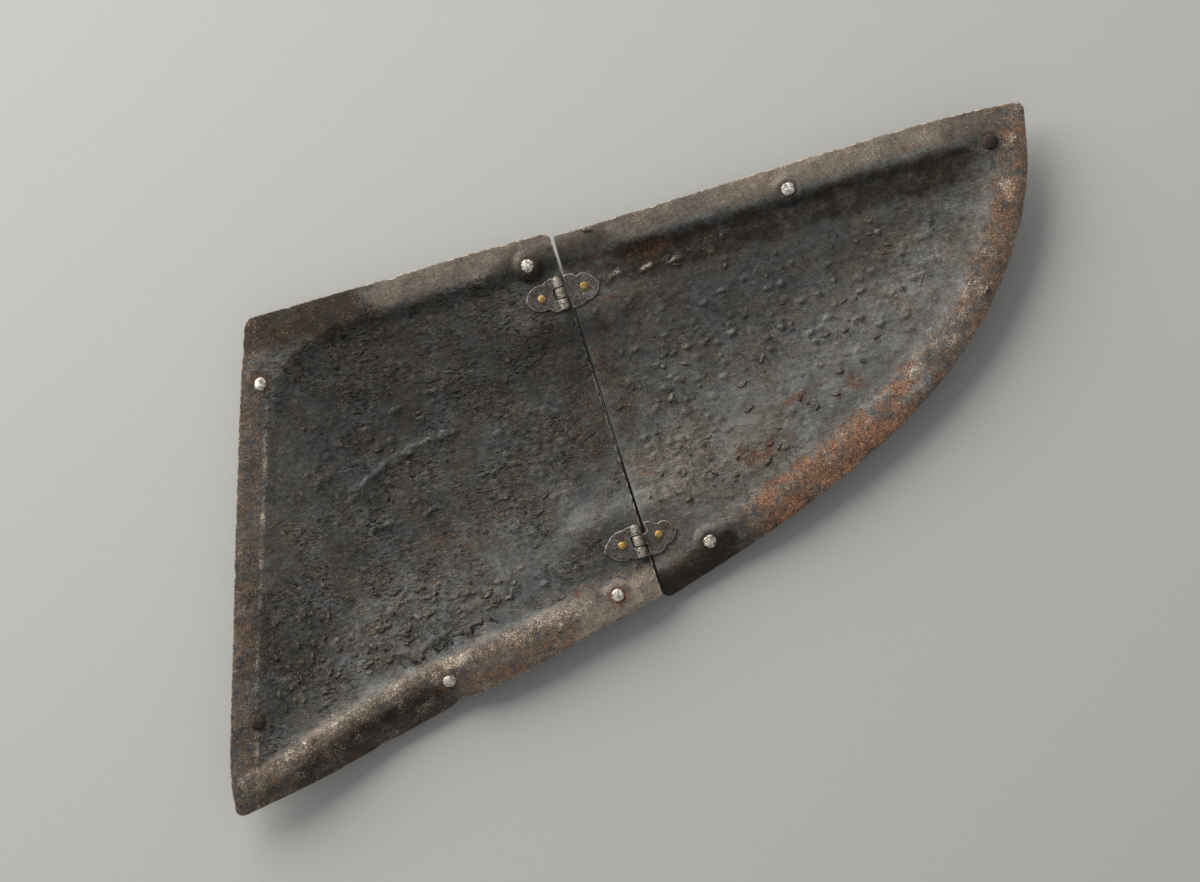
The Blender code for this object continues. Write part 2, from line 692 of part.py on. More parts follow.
def hinge(name, y, broad_rivet, pointed_rivet):
    """Two leaves, their pin and their two rivets. Gives back the pieces that fold."""
    still_leaf = broad_leaf(name + "_broad_leaf", broad_rivet)
    folding_leaf = pointed_leaf(name + "_pointed_leaf", pointed_rivet)
    pin = rod(name + "_hinge_pin", PIN_RADIUS, -HINGE_HALF_WIDTH, HINGE_HALF_WIDTH, PIN_SIDES, parts)
    place = Vector((PIN_X, y, SEAT_HEIGHT + PIECE_GAP)) * MM
    for piece in (still_leaf, folding_leaf, pin):
        piece.location = place
        paint(piece, "hinge_steel")
        for change in piece.modifiers:
            change.object.location = place
    hinge_rivet(name + "_broad_hinge_rivet", PIN_X - broad_rivet, y)
    folding_rivet = hinge_rivet(name + "_pointed_hinge_rivet", PIN_X + pointed_rivet, y)
    return [folding_leaf, folding_rivet]


def paint(obj, metal):
    """Gives a piece its own material, in this metal's finish."""
    colour, roughness, metallic = METALS[metal]
    material = bpy.data.materials.new(obj.name + "_" + metal)
    material.use_nodes = True
    shader = material.node_tree.nodes["Principled BSDF"]
    shader.inputs["Base Color"].default_value = colour
    shader.inputs["Roughness"].default_value = roughness
    shader.inputs["Metallic"].default_value = metallic
    obj.data.materials.append(material)


for old in list(bpy.data.objects):
    bpy.data.objects.remove(old)
parts = bpy.data.collections.new("crinet")
cutters = bpy.data.collections.new("cutters")
bpy.context.scene.collection.children.link(parts)
bpy.context.scene.collection.children.link(cutters)

ring_lines = [ring_line(distance) for distance in RINGS]
dished_plate("broad", ring_lines)
folding = [dished_plate("pointed", ring_lines)]
for row in LINING_RIVETS:
    made = lining_rivet(*row)
    if row[1] == "pointed":
        folding.append(made)
for row in HINGES:
    folding += hinge(*row)

pivot = add_object("seam_fold", None, parts)
pivot.location = Vector((PIN_X, 0, PIN_Z)) * MM
bpy.context.view_layer.update()
for piece in folding:
    piece.parent = pivot
    piece.matrix_parent_inverse = pivot.matrix_world.inverted()
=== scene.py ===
# Crinet side panel: two dished iron plates, butted at a seam and joined by two small hinges.
# Sizes are in millimetres until a mesh is made from them.
import json
import math

import bpy
import bmesh
import numpy as np
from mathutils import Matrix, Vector
from mathutils.geometry import delaunay_2d_cdt
from mathutils.kdtree import KDTree

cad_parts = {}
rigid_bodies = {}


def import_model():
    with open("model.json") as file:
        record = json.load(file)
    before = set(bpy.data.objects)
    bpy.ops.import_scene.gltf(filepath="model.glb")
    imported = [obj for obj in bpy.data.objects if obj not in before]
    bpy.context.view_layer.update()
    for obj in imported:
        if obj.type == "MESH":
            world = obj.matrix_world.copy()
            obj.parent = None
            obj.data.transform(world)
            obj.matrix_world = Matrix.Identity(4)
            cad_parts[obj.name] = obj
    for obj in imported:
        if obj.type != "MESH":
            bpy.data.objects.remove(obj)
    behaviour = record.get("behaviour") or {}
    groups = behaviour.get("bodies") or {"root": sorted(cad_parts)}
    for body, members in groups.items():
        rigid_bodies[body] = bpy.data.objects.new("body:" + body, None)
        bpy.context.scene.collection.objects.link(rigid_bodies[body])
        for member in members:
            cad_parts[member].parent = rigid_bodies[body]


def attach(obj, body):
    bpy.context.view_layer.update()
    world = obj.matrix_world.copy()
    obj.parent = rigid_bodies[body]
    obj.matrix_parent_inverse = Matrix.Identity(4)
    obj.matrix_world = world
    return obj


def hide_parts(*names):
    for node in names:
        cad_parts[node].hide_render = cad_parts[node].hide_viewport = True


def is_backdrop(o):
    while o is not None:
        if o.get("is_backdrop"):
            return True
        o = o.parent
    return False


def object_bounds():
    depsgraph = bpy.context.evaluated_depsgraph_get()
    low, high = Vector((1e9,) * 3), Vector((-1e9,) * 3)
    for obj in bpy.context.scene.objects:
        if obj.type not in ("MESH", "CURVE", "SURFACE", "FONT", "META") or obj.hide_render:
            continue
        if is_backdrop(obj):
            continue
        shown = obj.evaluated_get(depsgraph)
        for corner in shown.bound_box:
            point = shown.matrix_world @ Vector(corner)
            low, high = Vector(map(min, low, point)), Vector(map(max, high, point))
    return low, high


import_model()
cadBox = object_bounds()
mm = 0.001


# Lines in the plane

def smoothLine(rows, step=4.0):
    points = [np.array(row, float) for row in rows]
    points = [2 * points[0] - points[1]] + points + [2 * points[-1] - points[-2]]
    line = []
    for before, start, end, after in zip(points, points[1:], points[2:], points[3:]):
        length = np.linalg.norm(end - start)
        leave = (end - before) * length / (length + np.linalg.norm(start - before))
        arrive = (after - start) * length / (length + np.linalg.norm(after - end))
        count = max(1, round(length / step))
        for k in range(count):
            t = k / count
            line.append((2 * t**3 - 3 * t**2 + 1) * start + (t**3 - 2 * t**2 + t) * leave
                        + (3 * t**2 - 2 * t**3) * end + (t**3 - t**2) * arrive)
    line.append(points[-2])
    return np.array(line)


def evenLoop(loop, spacing):                # a closed line with its points evenly spread
    closed = np.vstack([loop, loop[:1]])
    lengths = np.concatenate([[0], np.cumsum(np.linalg.norm(np.diff(closed, axis=0), axis=1))])
    places = np.linspace(0, lengths[-1], max(8, round(lengths[-1] / spacing)), endpoint=False)
    return np.stack([np.interp(places, lengths, closed[:, k]) for k in (0, 1)], 1)


def softened(loop, times=1):                # a closed line with its corners eased
    for _ in range(times):
        loop = loop / 2 + (np.roll(loop, -1, axis=0) + np.roll(loop, 1, axis=0)) / 4
    return loop


def inwardOf(loop):                         # unit vectors to the left of a closed line
    along = np.roll(loop, -1, axis=0) - np.roll(loop, 1, axis=0)
    left = softened(np.stack([-along[:, 1], along[:, 0]], 1), 2)
    return left / np.linalg.norm(left, axis=1)[:, None]


def loopArea(loop):
    x, y = loop.T
    return 0.5 * (x * np.roll(y, -1) - np.roll(x, -1) * y).sum()


def isInside(points, loop):
    result = np.zeros(len(points), bool)
    for start, end in zip(loop, np.roll(loop, -1, axis=0)):
        if start[1] != end[1]:
            crosses = (start[1] > points[:, 1]) != (end[1] > points[:, 1])
            at = start[0] + (points[:, 1] - start[1]) * (end[0] - start[0]) / (end[1] - start[1])
            result ^= crosses & (points[:, 0] < at)
    return result


def cornerArc(first, second, radius, pieces=5):
    corner = first[-1]
    into = first[np.linalg.norm(first - corner, axis=1) > radius][-1] - corner
    out = second[np.linalg.norm(second - corner, axis=1) > radius][0] - corner
    into /= np.linalg.norm(into)
    out /= np.linalg.norm(out)
    halfAngle = math.acos(float(np.clip(into @ out, -1, 1))) / 2
    center = corner + (into + out) / np.linalg.norm(into + out) * radius / math.sin(halfAngle)
    start = corner + into * radius / math.tan(halfAngle) - center
    end = corner + out * radius / math.tan(halfAngle) - center
    spokes = [start * (1 - k / pieces) + end * k / pieces for k in range(pieces + 1)]
    return np.array([center + spoke * radius / np.linalg.norm(spoke) for spoke in spokes])


def roundedLoop(sides, radii):              # sides joined end to end, with an arc at each corner
    arcs = [cornerArc(side, after, radius)
            for side, after, radius in zip(sides, sides[1:] + sides[:1], radii)]
    loop = []
    for side, arcBefore, arcAfter in zip(sides, arcs[-1:] + arcs[:-1], arcs):
        clearStart = np.linalg.norm(side - side[0], axis=1) > np.linalg.norm(arcBefore[-1] - side[0]) + 1
        clearEnd = np.linalg.norm(side - side[-1], axis=1) > np.linalg.norm(arcAfter[0] - side[-1]) + 1
        loop += list(side[clearStart & clearEnd]) + list(arcAfter)
    return np.array(loop)


def sideDistance(points, line):             # distance from a line, positive on the right of its direction
    start = line[:-1]
    along = line[1:] - start
    result = []
    for part in np.array_split(points, max(1, len(points) // 4000)):
        offset = part[:, None, :] - start[None]
        share = np.clip((offset * along).sum(2) / (along * along).sum(1), 0, 1)
        length = np.linalg.norm(offset - share[..., None] * along, axis=2)
        nearest = length.argmin(1)
        rows = np.arange(len(part))
        side = along[nearest, 1] * offset[rows, nearest, 0] - along[nearest, 0] * offset[rows, nearest, 1]
        result.append(length[rows, nearest] * np.where(side >= 0, 1, -1))
    return np.concatenate(result)


def softMin(a, b, radius):
    near = np.clip(radius - np.abs(a - b), 0, None) / radius
    return np.minimum(a, b) - near * near * radius / 4


def smoothStep(t):
    t = np.clip(t, 0, 1)
    return t * t * (3 - 2 * t)


# The form of the plates

plates = {
    "sheet": 1.6,
    "dishDepth": 15.5,
    "dishReach": 86.0,        # how far in from the crests the dish goes down
    "shelfEnds": 105.0,       # this near the pins the dish starts to level out for the hinges
    "shelfBlend": 70.0,
    "stepWidth": 12.0,
    "flangeWidth": 16.0,
    "endLift": 10.0,
    "endLiftStart": 120.0,
    "endLiftSpan": 186.0,
    "topStep": 6.2,
    "topTurn": 2.5,
    "leftStep": 2.0,
    "leftTurn": 2.0,
    "topLeftRounding": 50.0,
    "lowerRounding": 24.0,
    "seamX": -5.0,
    "seamGap": 1.2,
    "seamGapTop": 2.2,
    "seamOpensAt": 118.0,
    "seamBurr": 0.42,         # how far each lower edge stands out into the seam
    "seamTop": 146.2,
    "rivetSeat": 5.2,
    "rivetSeatBlend": 6.0,
    "spacing": 1.06,          # of the points on the upper face
    "underSpacing": 2.6,
    "rim": ((0.5, 0), (0.14, 0.16), (0, 0.5), (0, 1.1), (0.14, 1.44), (0.5, 1.6)),  # inset, drop
    "edgeWear": 0.30,         # how far the edge wanders
    "seed": 4,
}

crests = {
    "top": smoothLine(((-330, 130), (-200, 130.5), (-110, 130.5), (-40, 129), (0, 128.5), (80, 126),
                       (180, 124), (280, 121.5), (340, 119))),
    "left": smoothLine(((-300, -180), (-288, -135), (-268, -70), (-240, 10), (-205, 110), (-176, 190))),
    "lower": smoothLine(((297, 160), (290, 125), (282, 99.5), (267, 67.5), (237, 29.5), (197, -4),
                         (147, -30.5), (97, -50.5), (47, -66.5), (-5, -79.5), (-53, -84.5),
                         (-103, -91.5), (-153, -97.5), (-203, -105.5), (-268, -123.5), (-340, -136))),
}

edges = {
    "broad": (((-5.9, 146.2), (-60, 148.1), (-110, 148.9), (-160, 150.0), (-207.8, 151.3)),
              ((-207.8, 151.3), (-223.6, 109.5), (-251.6, 29.5), (-278.6, -50.5), (-301.9, -121),
               (-307.1, -152.1)),
              ((-307.1, -152.1), (-253, -145), (-203, -135.2), (-155, -125.2), (-148, -121.6),
               (-136, -122.6), (-103, -118), (-53, -107.2), (-5.6, -97.4))),
    "pointed": (((-4.4, -101.2), (47, -86.9), (97, -71.1), (147, -51.7), (197, -25.4), (242.4, 9.6),
                 (275.4, 49.5), (296.2, 89.5), (307.6, 135.2)),
                ((307.6, 135.2), (267, 139.5), (217, 141.4), (120, 142.4), (-3.9, 142.6))),
}
# Radii of the outlines' corners
corners = {"broad": (5.0, 7.0, 5.0, 1.5), "pointed": (4.0, 5.0, 1.5)}
# x, how high the lower crest stands there
lowerStep = ((-306, 3.6), (-130, 3.6), (-60, 2.5), (-5, 1.9), (50, 2.6), (120, 3.6), (306, 3.6))
lowerTurn = {                                # x, how far the lower edge is turned down there
    "broad": ((-306, 1.0), (-250, 3.5), (-200, 5.0), (-155, 5.0), (-130, 2.0), (-60, 1.2), (-5, 1.0)),
    "pointed": ((-5, 7.5), (45, 7.0), (75, 4.0), (120, 3.0), (200, 2.5), (306, 2.0)),
}

hinges = {
    "pinX": -10.0,
    "pinRadius": 1.4,
    "bore": 1.75,
    "barrel": 3.1,
    "leafSheet": 1.2,
    "gap": 0.3,
    "halfWidth": 10.8,
    "tongueHalf": 3.5,
    "tongueClearance": 0.35,
    "seat": 15.6,              # level of the flats that the leaves lie on
    "seatHalf": 11.8,
    "seatReach": (26.0, 29.0),
    "seatBlend": 22.0,
    "keepsClear": 4.0,
    "places": {                # where each is along the pin, and its rivets' distances from the pin
        "upper": {"y": 106.7, "broad": 12.6, "pointed": 15.8},
        "lower": {"y": -59.3, "broad": 10.6, "pointed": 13.8},
    },
}
leafTop = hinges["seat"] + hinges["gap"] + hinges["leafSheet"]
pinZ = hinges["seat"] + hinges["gap"] + hinges["barrel"]
sideOf = {"broad": -1, "pointed": 1}

liningRivets = {                             # plate, x, y, metal
    "rivet_left_top": ("broad", -210.0, 108.5, "white"),
    "rivet_top_seam": ("broad", -25.0, 129.5, "white"),
    "rivet_bottom_mid": ("broad", -152.0, -108.5, "white"),
    "rivet_bottom_seam": ("broad", -33.0, -88.5, "white"),
    "rivet_left_bottom": ("broad", -276.0, -96.5, "rusty"),
    "rivet_top_mid": ("pointed", 148.0, 126.5, "white"),
    "rivet_curve_seam": ("pointed", 33.5, -73.0, "white"),
    "rivet_tip": ("pointed", 279.0, 116.5, "rusty"),
}


def crestDistances(points):
    return [sideDistance(points, crests[name]) for name in ("top", "left", "lower")]


def freeHeight(points, plate, distances=None):
    top, left, lower = distances or crestDistances(points)
    inward = softMin(softMin(top, left, plates["topLeftRounding"]), lower, plates["lowerRounding"])
    least = np.minimum(np.minimum(top, left), lower)
    shares = np.exp(-(np.stack([top, left, lower]) - least) / plates["stepWidth"])
    shares /= shares.sum(0)
    turns = np.array(lowerTurn[plate])
    crestStep = np.interp(points[:, 0], *np.array(lowerStep).T)
    outerTurn = np.interp(points[:, 0], turns[:, 0], turns[:, 1])
    step = shares[0] * plates["topStep"] + shares[1] * plates["leftStep"] + shares[2] * crestStep
    turn = shares[0] * plates["topTurn"] + shares[1] * plates["leftTurn"] + shares[2] * outerTurn
    dishStart = plates["stepWidth"] - 2
    wayIn = np.clip((inward - dishStart) / (plates["dishReach"] - dishStart), 0, 1)
    shelf = smoothStep((plates["shelfEnds"] - np.abs(points[:, 0] - hinges["pinX"])) / plates["shelfBlend"])
    dish = plates["dishDepth"] * (1 - wayIn)**2 * (1 + (1 + shelf) * wayIn)
    crest = step * (1 - smoothStep(inward / plates["stepWidth"]))
    flange = turn * (np.clip(-inward, 0, None) / plates["flangeWidth"])**1.6
    pastMiddle = np.clip(np.abs(points[:, 0]) - plates["endLiftStart"], 0, None)
    lift = plates["endLift"] * (pastMiddle / plates["endLiftSpan"])**2
    return plates["sheet"] + dish + crest - flange + lift


def rivetPlane(plate, x, y):                 # height and slopes of the flat spot under a lining rivet
    reach = plates["rivetSeat"]
    z = freeHeight(np.array([(x, y), (x - reach, y), (x + reach, y), (x, y - reach), (x, y + reach)]), plate)
    return z[0], (z[2] - z[1]) / (2 * reach), (z[4] - z[3]) / (2 * reach)


def hingeDistance(points):                   # distance from the nearest hinge's flat
    nearest = np.full(len(points), np.inf)
    for hinge in hinges["places"].values():
        pastX = np.maximum(hinges["pinX"] - hinges["seatReach"][0] - points[:, 0],
                           points[:, 0] - hinges["pinX"] - hinges["seatReach"][1])
        pastY = np.abs(points[:, 1] - hinge["y"]) - hinges["seatHalf"]
        nearest = np.minimum(nearest, np.hypot(np.clip(pastX, 0, None), np.clip(pastY, 0, None)))
    return nearest


def plateHeight(points, plate, distances=None):
    z = freeHeight(points, plate, distances)
    fromHinges = hingeDistance(points)
    level = 1 - smoothStep(fromHinges / hinges["seatBlend"])
    z = z * (1 - level) + hinges["seat"] * level
    for onPlate, x, y, _ in liningRivets.values():
        if onPlate == plate:
            middle, slopeX, slopeY = rivetPlane(plate, x, y)
            spot = middle + slopeX * (points[:, 0] - x) + slopeY * (points[:, 1] - y)
            outside = np.hypot(points[:, 0] - x, points[:, 1] - y) - plates["rivetSeat"]
            level = 1 - smoothStep(outside / plates["rivetSeatBlend"])
            level *= smoothStep(fromHinges / hinges["keepsClear"])
            z = z * (1 - level) + spot * level
    return z


# A sheet of metal with a rounded rim, from its outline

def unitNormals(points, upperFace):
    reach = 0.4
    slopeX = (upperFace(points + (reach, 0)) - upperFace(points - (reach, 0))) / (2 * reach)
    slopeY = (upperFace(points + (0, reach)) - upperFace(points - (0, reach))) / (2 * reach)
    normals = np.stack([-slopeX, -slopeY, np.ones(len(points))], 1)
    return normals / np.linalg.norm(normals, axis=1)[:, None]


def lattice(loop, holes, spacing, seed):     # points spread over a sheet, a little unevenly
    clear = spacing * 0.6
    low, high = loop.min(0), loop.max(0)
    rows = []
    for number, y in enumerate(np.arange(low[1], high[1], spacing * 0.866)):
        x = np.arange(low[0], high[0], spacing) + (spacing / 2 if number % 2 else 0)
        rows.append(np.stack([x, np.full(len(x), y)], 1))
    points = np.vstack(rows)
    points += np.random.default_rng(seed).uniform(-0.16, 0.16, points.shape) * spacing
    keep = isInside(points, loop + inwardOf(loop) * clear)
    for x, y, radius in holes:
        keep &= np.hypot(points[:, 0] - x, points[:, 1] - y) > radius + clear
    return points[keep]


def trianglesOver(points, loops, holes):
    lines = [(int(a), int(b)) for loop in loops for a, b in zip(loop, np.roll(loop, -1))]
    _, _, faces, origins, *_ = delaunay_2d_cdt([Vector(p) for p in points], lines, [], 0, 0.00001)
    first = np.array([origin[0] for origin in origins])
    triangles = first[np.array(faces)]
    a, b, c = (points[triangles[:, k]] for k in range(3))
    turned = (b[:, 0] - a[:, 0]) * (c[:, 1] - a[:, 1]) - (b[:, 1] - a[:, 1]) * (c[:, 0] - a[:, 0]) < 0
    triangles[turned] = triangles[turned][:, ::-1]
    centers = (a + b + c) / 3
    keep = isInside(centers, points[loops[0]])
    for x, y, radius in holes:
        keep &= np.hypot(centers[:, 0] - x, centers[:, 1] - y) > radius
    return triangles[keep]


def sheetBody(name, outline, holes, upperFace, form):
    if loopArea(outline) < 0:
        outline = outline[::-1]
    loops = [outline]
    for x, y, radius in holes:
        turns = -np.arange(18) * 2 * math.pi / 18
        loops.append(np.stack([x + radius * np.cos(turns), y + radius * np.sin(turns)], 1))
    points, drops, rings = [], [], []
    count = 0
    for loop in loops:
        inward = inwardOf(loop)
        loopRings = []
        for inset, drop in form["rim"]:
            loopRings.append(np.arange(count, count + len(loop)))
            points.append(loop + inward * inset)
            drops.append(np.full(len(loop), float(drop)))
            count += len(loop)
        rings.append(loopRings)
    inset = form["rim"][0][0]
    widerHoles = [(x, y, radius + inset) for x, y, radius in holes]
    faces = []
    for spacing, depth, ring in ((form["spacing"], 0.0, 0), (form["underSpacing"], form["sheet"], -1)):
        spread = lattice(outline + inwardOf(outline) * inset, widerHoles, spacing, form["seed"])
        numbers = np.concatenate([loopRings[ring] for loopRings in rings]
                                 + [np.arange(count, count + len(spread))])
        points.append(spread)
        drops.append(np.full(len(spread), depth))
        count += len(spread)
        flat = np.vstack(points)[numbers]
        starts = np.cumsum([0] + [len(loop) for loop in loops])
        local = [np.arange(start, start + len(loop)) for start, loop in zip(starts, loops)]
        triangles = numbers[trianglesOver(flat, local, widerHoles)]
        faces += (triangles if ring == 0 else triangles[:, ::-1]).tolist()
    for loopRings in rings:
        for upper, lower in zip(loopRings, loopRings[1:]):
            faces += np.stack([upper, lower, np.roll(lower, -1), np.roll(upper, -1)], 1).tolist()
    points = np.vstack(points)
    drops = np.concatenate(drops)
    places = np.column_stack([points, upperFace(points)])
    deep = drops > 0
    places[deep] -= unitNormals(points[deep], upperFace) * drops[deep, None]
    mesh = bpy.data.meshes.new(name)
    mesh.from_pydata((places * mm).tolist(), [], faces)
    shadeSmooth(mesh)
    return mesh, points, drops, distancesFrom(outline, points)


def distancesFrom(line, points):             # from each point to the nearest point of a line
    tree = KDTree(len(line))
    for number, (x, y) in enumerate(line):
        tree.insert((x, y, 0), number)
    tree.balance()
    return np.array([tree.find((x, y, 0))[2] for x, y in points])


def shadeSmooth(mesh):
    mesh.polygons.foreach_set("use_smooth", np.ones(len(mesh.polygons), bool))


def placesOf(mesh):
    places = np.zeros(len(mesh.vertices) * 3)
    mesh.vertices.foreach_get("co", places)
    return places.reshape(-1, 3)


def storeFloat(mesh, name, values):
    layer = mesh.attributes.new(name, "FLOAT", "POINT")
    layer.data.foreach_set("value", np.asarray(values, np.float32))


def changedMesh(obj):                        # the mesh with the object's modifiers run
    bpy.context.view_layer.update()
    return bpy.data.meshes.new_from_object(obj.evaluated_get(bpy.context.evaluated_depsgraph_get()))


def newObject(name, mesh):
    obj = bpy.data.objects.new(name, mesh)
    bpy.context.scene.collection.objects.link(obj)
    return obj


# Node trees

class Value:                                 # a node's output, to be added to and multiplied like a number
    def __init__(self, wires, socket):
        self.wires = wires
        self.socket = socket

    def __add__(self, other):
        return self.wires.math("ADD", self, other)

    def __sub__(self, other):
        return self.wires.math("SUBTRACT", self, other)

    def __mul__(self, other):
        return self.wires.math("MULTIPLY", self, other)

    def __truediv__(self, other):
        return self.wires.math("DIVIDE", self, other)

    def __rtruediv__(self, other):
        return self.wires.math("DIVIDE", other, self)

    def __pow__(self, other):
        return self.wires.math("POWER", self, other)

    def __abs__(self):
        return self.wires.math("ABSOLUTE", self)


class Outputs:                               # the outputs of one node, by name or number
    def __init__(self, wires, node):
        self.wires = wires
        self.node = node

    def __getitem__(self, key):
        return Value(self.wires, self.node.outputs[key])


class Wires:                                 # puts nodes in a tree and joins them up
    def __init__(self, tree):
        self.tree = tree

    def put(self, kind, inputs=None, **settings):
        node = self.tree.nodes.new(kind)
        for key, value in settings.items():
            setattr(node, key, value)
        for key, value in (inputs or {}).items():
            self.feed(node, key, value)
        return Outputs(self, node)

    def feed(self, node, key, value):
        if isinstance(value, Value):
            self.tree.links.new(value.socket, node.inputs[key])
        else:
            node.inputs[key].default_value = value

    def math(self, operation, a, b=0.0, clamp=False):
        return self.put("ShaderNodeMath", {0: a, 1: b}, operation=operation, use_clamp=clamp)[0]

    def timesPlus(self, a, b, c):
        return self.put("ShaderNodeMath", {0: a, 1: b, 2: c}, operation="MULTIPLY_ADD")[0]

    def most(self, a, b):
        return self.math("MAXIMUM", a, b)

    def span(self, value, low, high, toLow=0.0, toHigh=1.0, kind="SMOOTHSTEP"):
        return self.put("ShaderNodeMapRange", {0: value, 1: low, 2: high, 3: toLow, 4: toHigh},
                        interpolation_type=kind)[0]

    def noise(self, vector, size, detail=3.0, roughness=0.55, output=0):
        scale = size if isinstance(size, Value) else 1 / size
        return self.put("ShaderNodeTexNoise", {"Vector": vector, "Scale": scale, "Detail": detail,
                                               "Roughness": roughness})[output]

    def cells(self, vector, size, feature="F1"):
        scale = size if isinstance(size, Value) else 1 / size
        return self.put("ShaderNodeTexVoronoi", {"Vector": vector, "Scale": scale}, feature=feature)

    def patchy(self, vector, row, kind="SMOOTHSTEP"):    # size, detail, roughness, and the span that counts
        return self.span(self.noise(vector, *row[:3]), *row[3:], kind=kind)

    def vector(self, operation, a, b):
        return self.put("ShaderNodeVectorMath", {0: a, 1: b}, operation=operation)[0]

    def scaled(self, a, by):
        return self.put("ShaderNodeVectorMath", {0: a, "Scale": by}, operation="SCALE")[0]

    def streaked(self, vector, along):       # drawn out along X
        return self.vector("MULTIPLY", vector, (along, 1.0, 1.0))

    def xyz(self, x, y=0.0, z=0.0):
        return self.put("ShaderNodeCombineXYZ", {0: x, 1: y, 2: z})[0]

    def parts(self, vector):
        return self.put("ShaderNodeSeparateXYZ", {0: vector})

    def blend(self, share, a, b):
        return self.put("ShaderNodeMix", {0: share, 6: a, 7: b}, data_type="RGBA")[2]

    def tint(self, colour, value):           # a colour made lighter or darker by a value
        return self.scaled(colour, value)

    def stored(self, name, kind="FLOAT"):    # a value kept on the mesh's points
        return self.put("GeometryNodeInputNamedAttribute", {"Name": name}, data_type=kind)[0]

    def position(self):                      # in millimetres
        return self.scaled(self.put("GeometryNodeInputPosition")[0], 1000.0)

    def keep(self, geometry, name, value):   # stores a value on the mesh's points
        inputs = {"Geometry": geometry, "Name": name, "Value": value}
        return self.put("GeometryNodeStoreNamedAttribute", inputs, data_type="FLOAT", domain="POINT")[0]


def treeInputs(tree, rows):                  # kind, name, value
    for kind, name, value in rows:
        socket = tree.interface.new_socket(name, in_out="INPUT", socket_type="NodeSocket" + kind)
        if value is not None:
            socket.default_value = value


def startTree(name, inputs):                 # a geometry tree that takes a geometry, sizes and a finish
    tree = bpy.data.node_groups.new(name, "GeometryNodeTree")
    tree.interface.new_socket("Geometry", in_out="OUTPUT", socket_type="NodeSocketGeometry")
    treeInputs(tree, [("Geometry", "Geometry", None)] + inputs + [("Material", "finish", None)])
    w = Wires(tree)
    return tree, w, w.put("NodeGroupInput")


def endTree(w, geometry, finish):
    finished = w.put("GeometryNodeSetMaterial", {"Geometry": geometry, "Material": finish})
    w.put("NodeGroupOutput", {0: finished[0]})


def useTree(obj, tree, values):              # runs a geometry tree and keeps its result as a plain mesh
    change = obj.modifiers.new(tree.name, "NODES")
    change.node_group = tree
    for item in tree.interface.items_tree:
        if item.in_out == "INPUT" and item.name in values:
            change[item.identifier] = values[item.name]
    obj.update_tag()
    old, obj.data = obj.data, changedMesh(obj)
    obj.modifiers.clear()
    bpy.data.meshes.remove(old)
    obj.data.name = obj.name
    print("  ", obj.name, len(obj.data.polygons), "faces", [m.name for m in obj.data.materials if m])
    return obj


surface = {
    "flakeSize": 5.2, "flakeHeight": 1.05,
    "blisterSize": 7.4, "blisterHeight": 2.1,
    "scabSize": 12.0, "scabHeight": 0.34,
    "grainSize": 2.0, "grainHeight": 0.09,
    "dentSize": 24.0, "dentHeight": 0.95,
}
lumpShapes = {
    "flake": {"warp": 3.2, "drawnOut": 0.66, "slope": (0.4, 0.2), "chance": (0.66, 0.72), "lowest": 0.4},
    "blister": {"warp": 4.2, "drawnOut": 0.74, "slope": (0.42, 0.12), "chance": (0.34, 0.42), "lowest": 0.45},
}

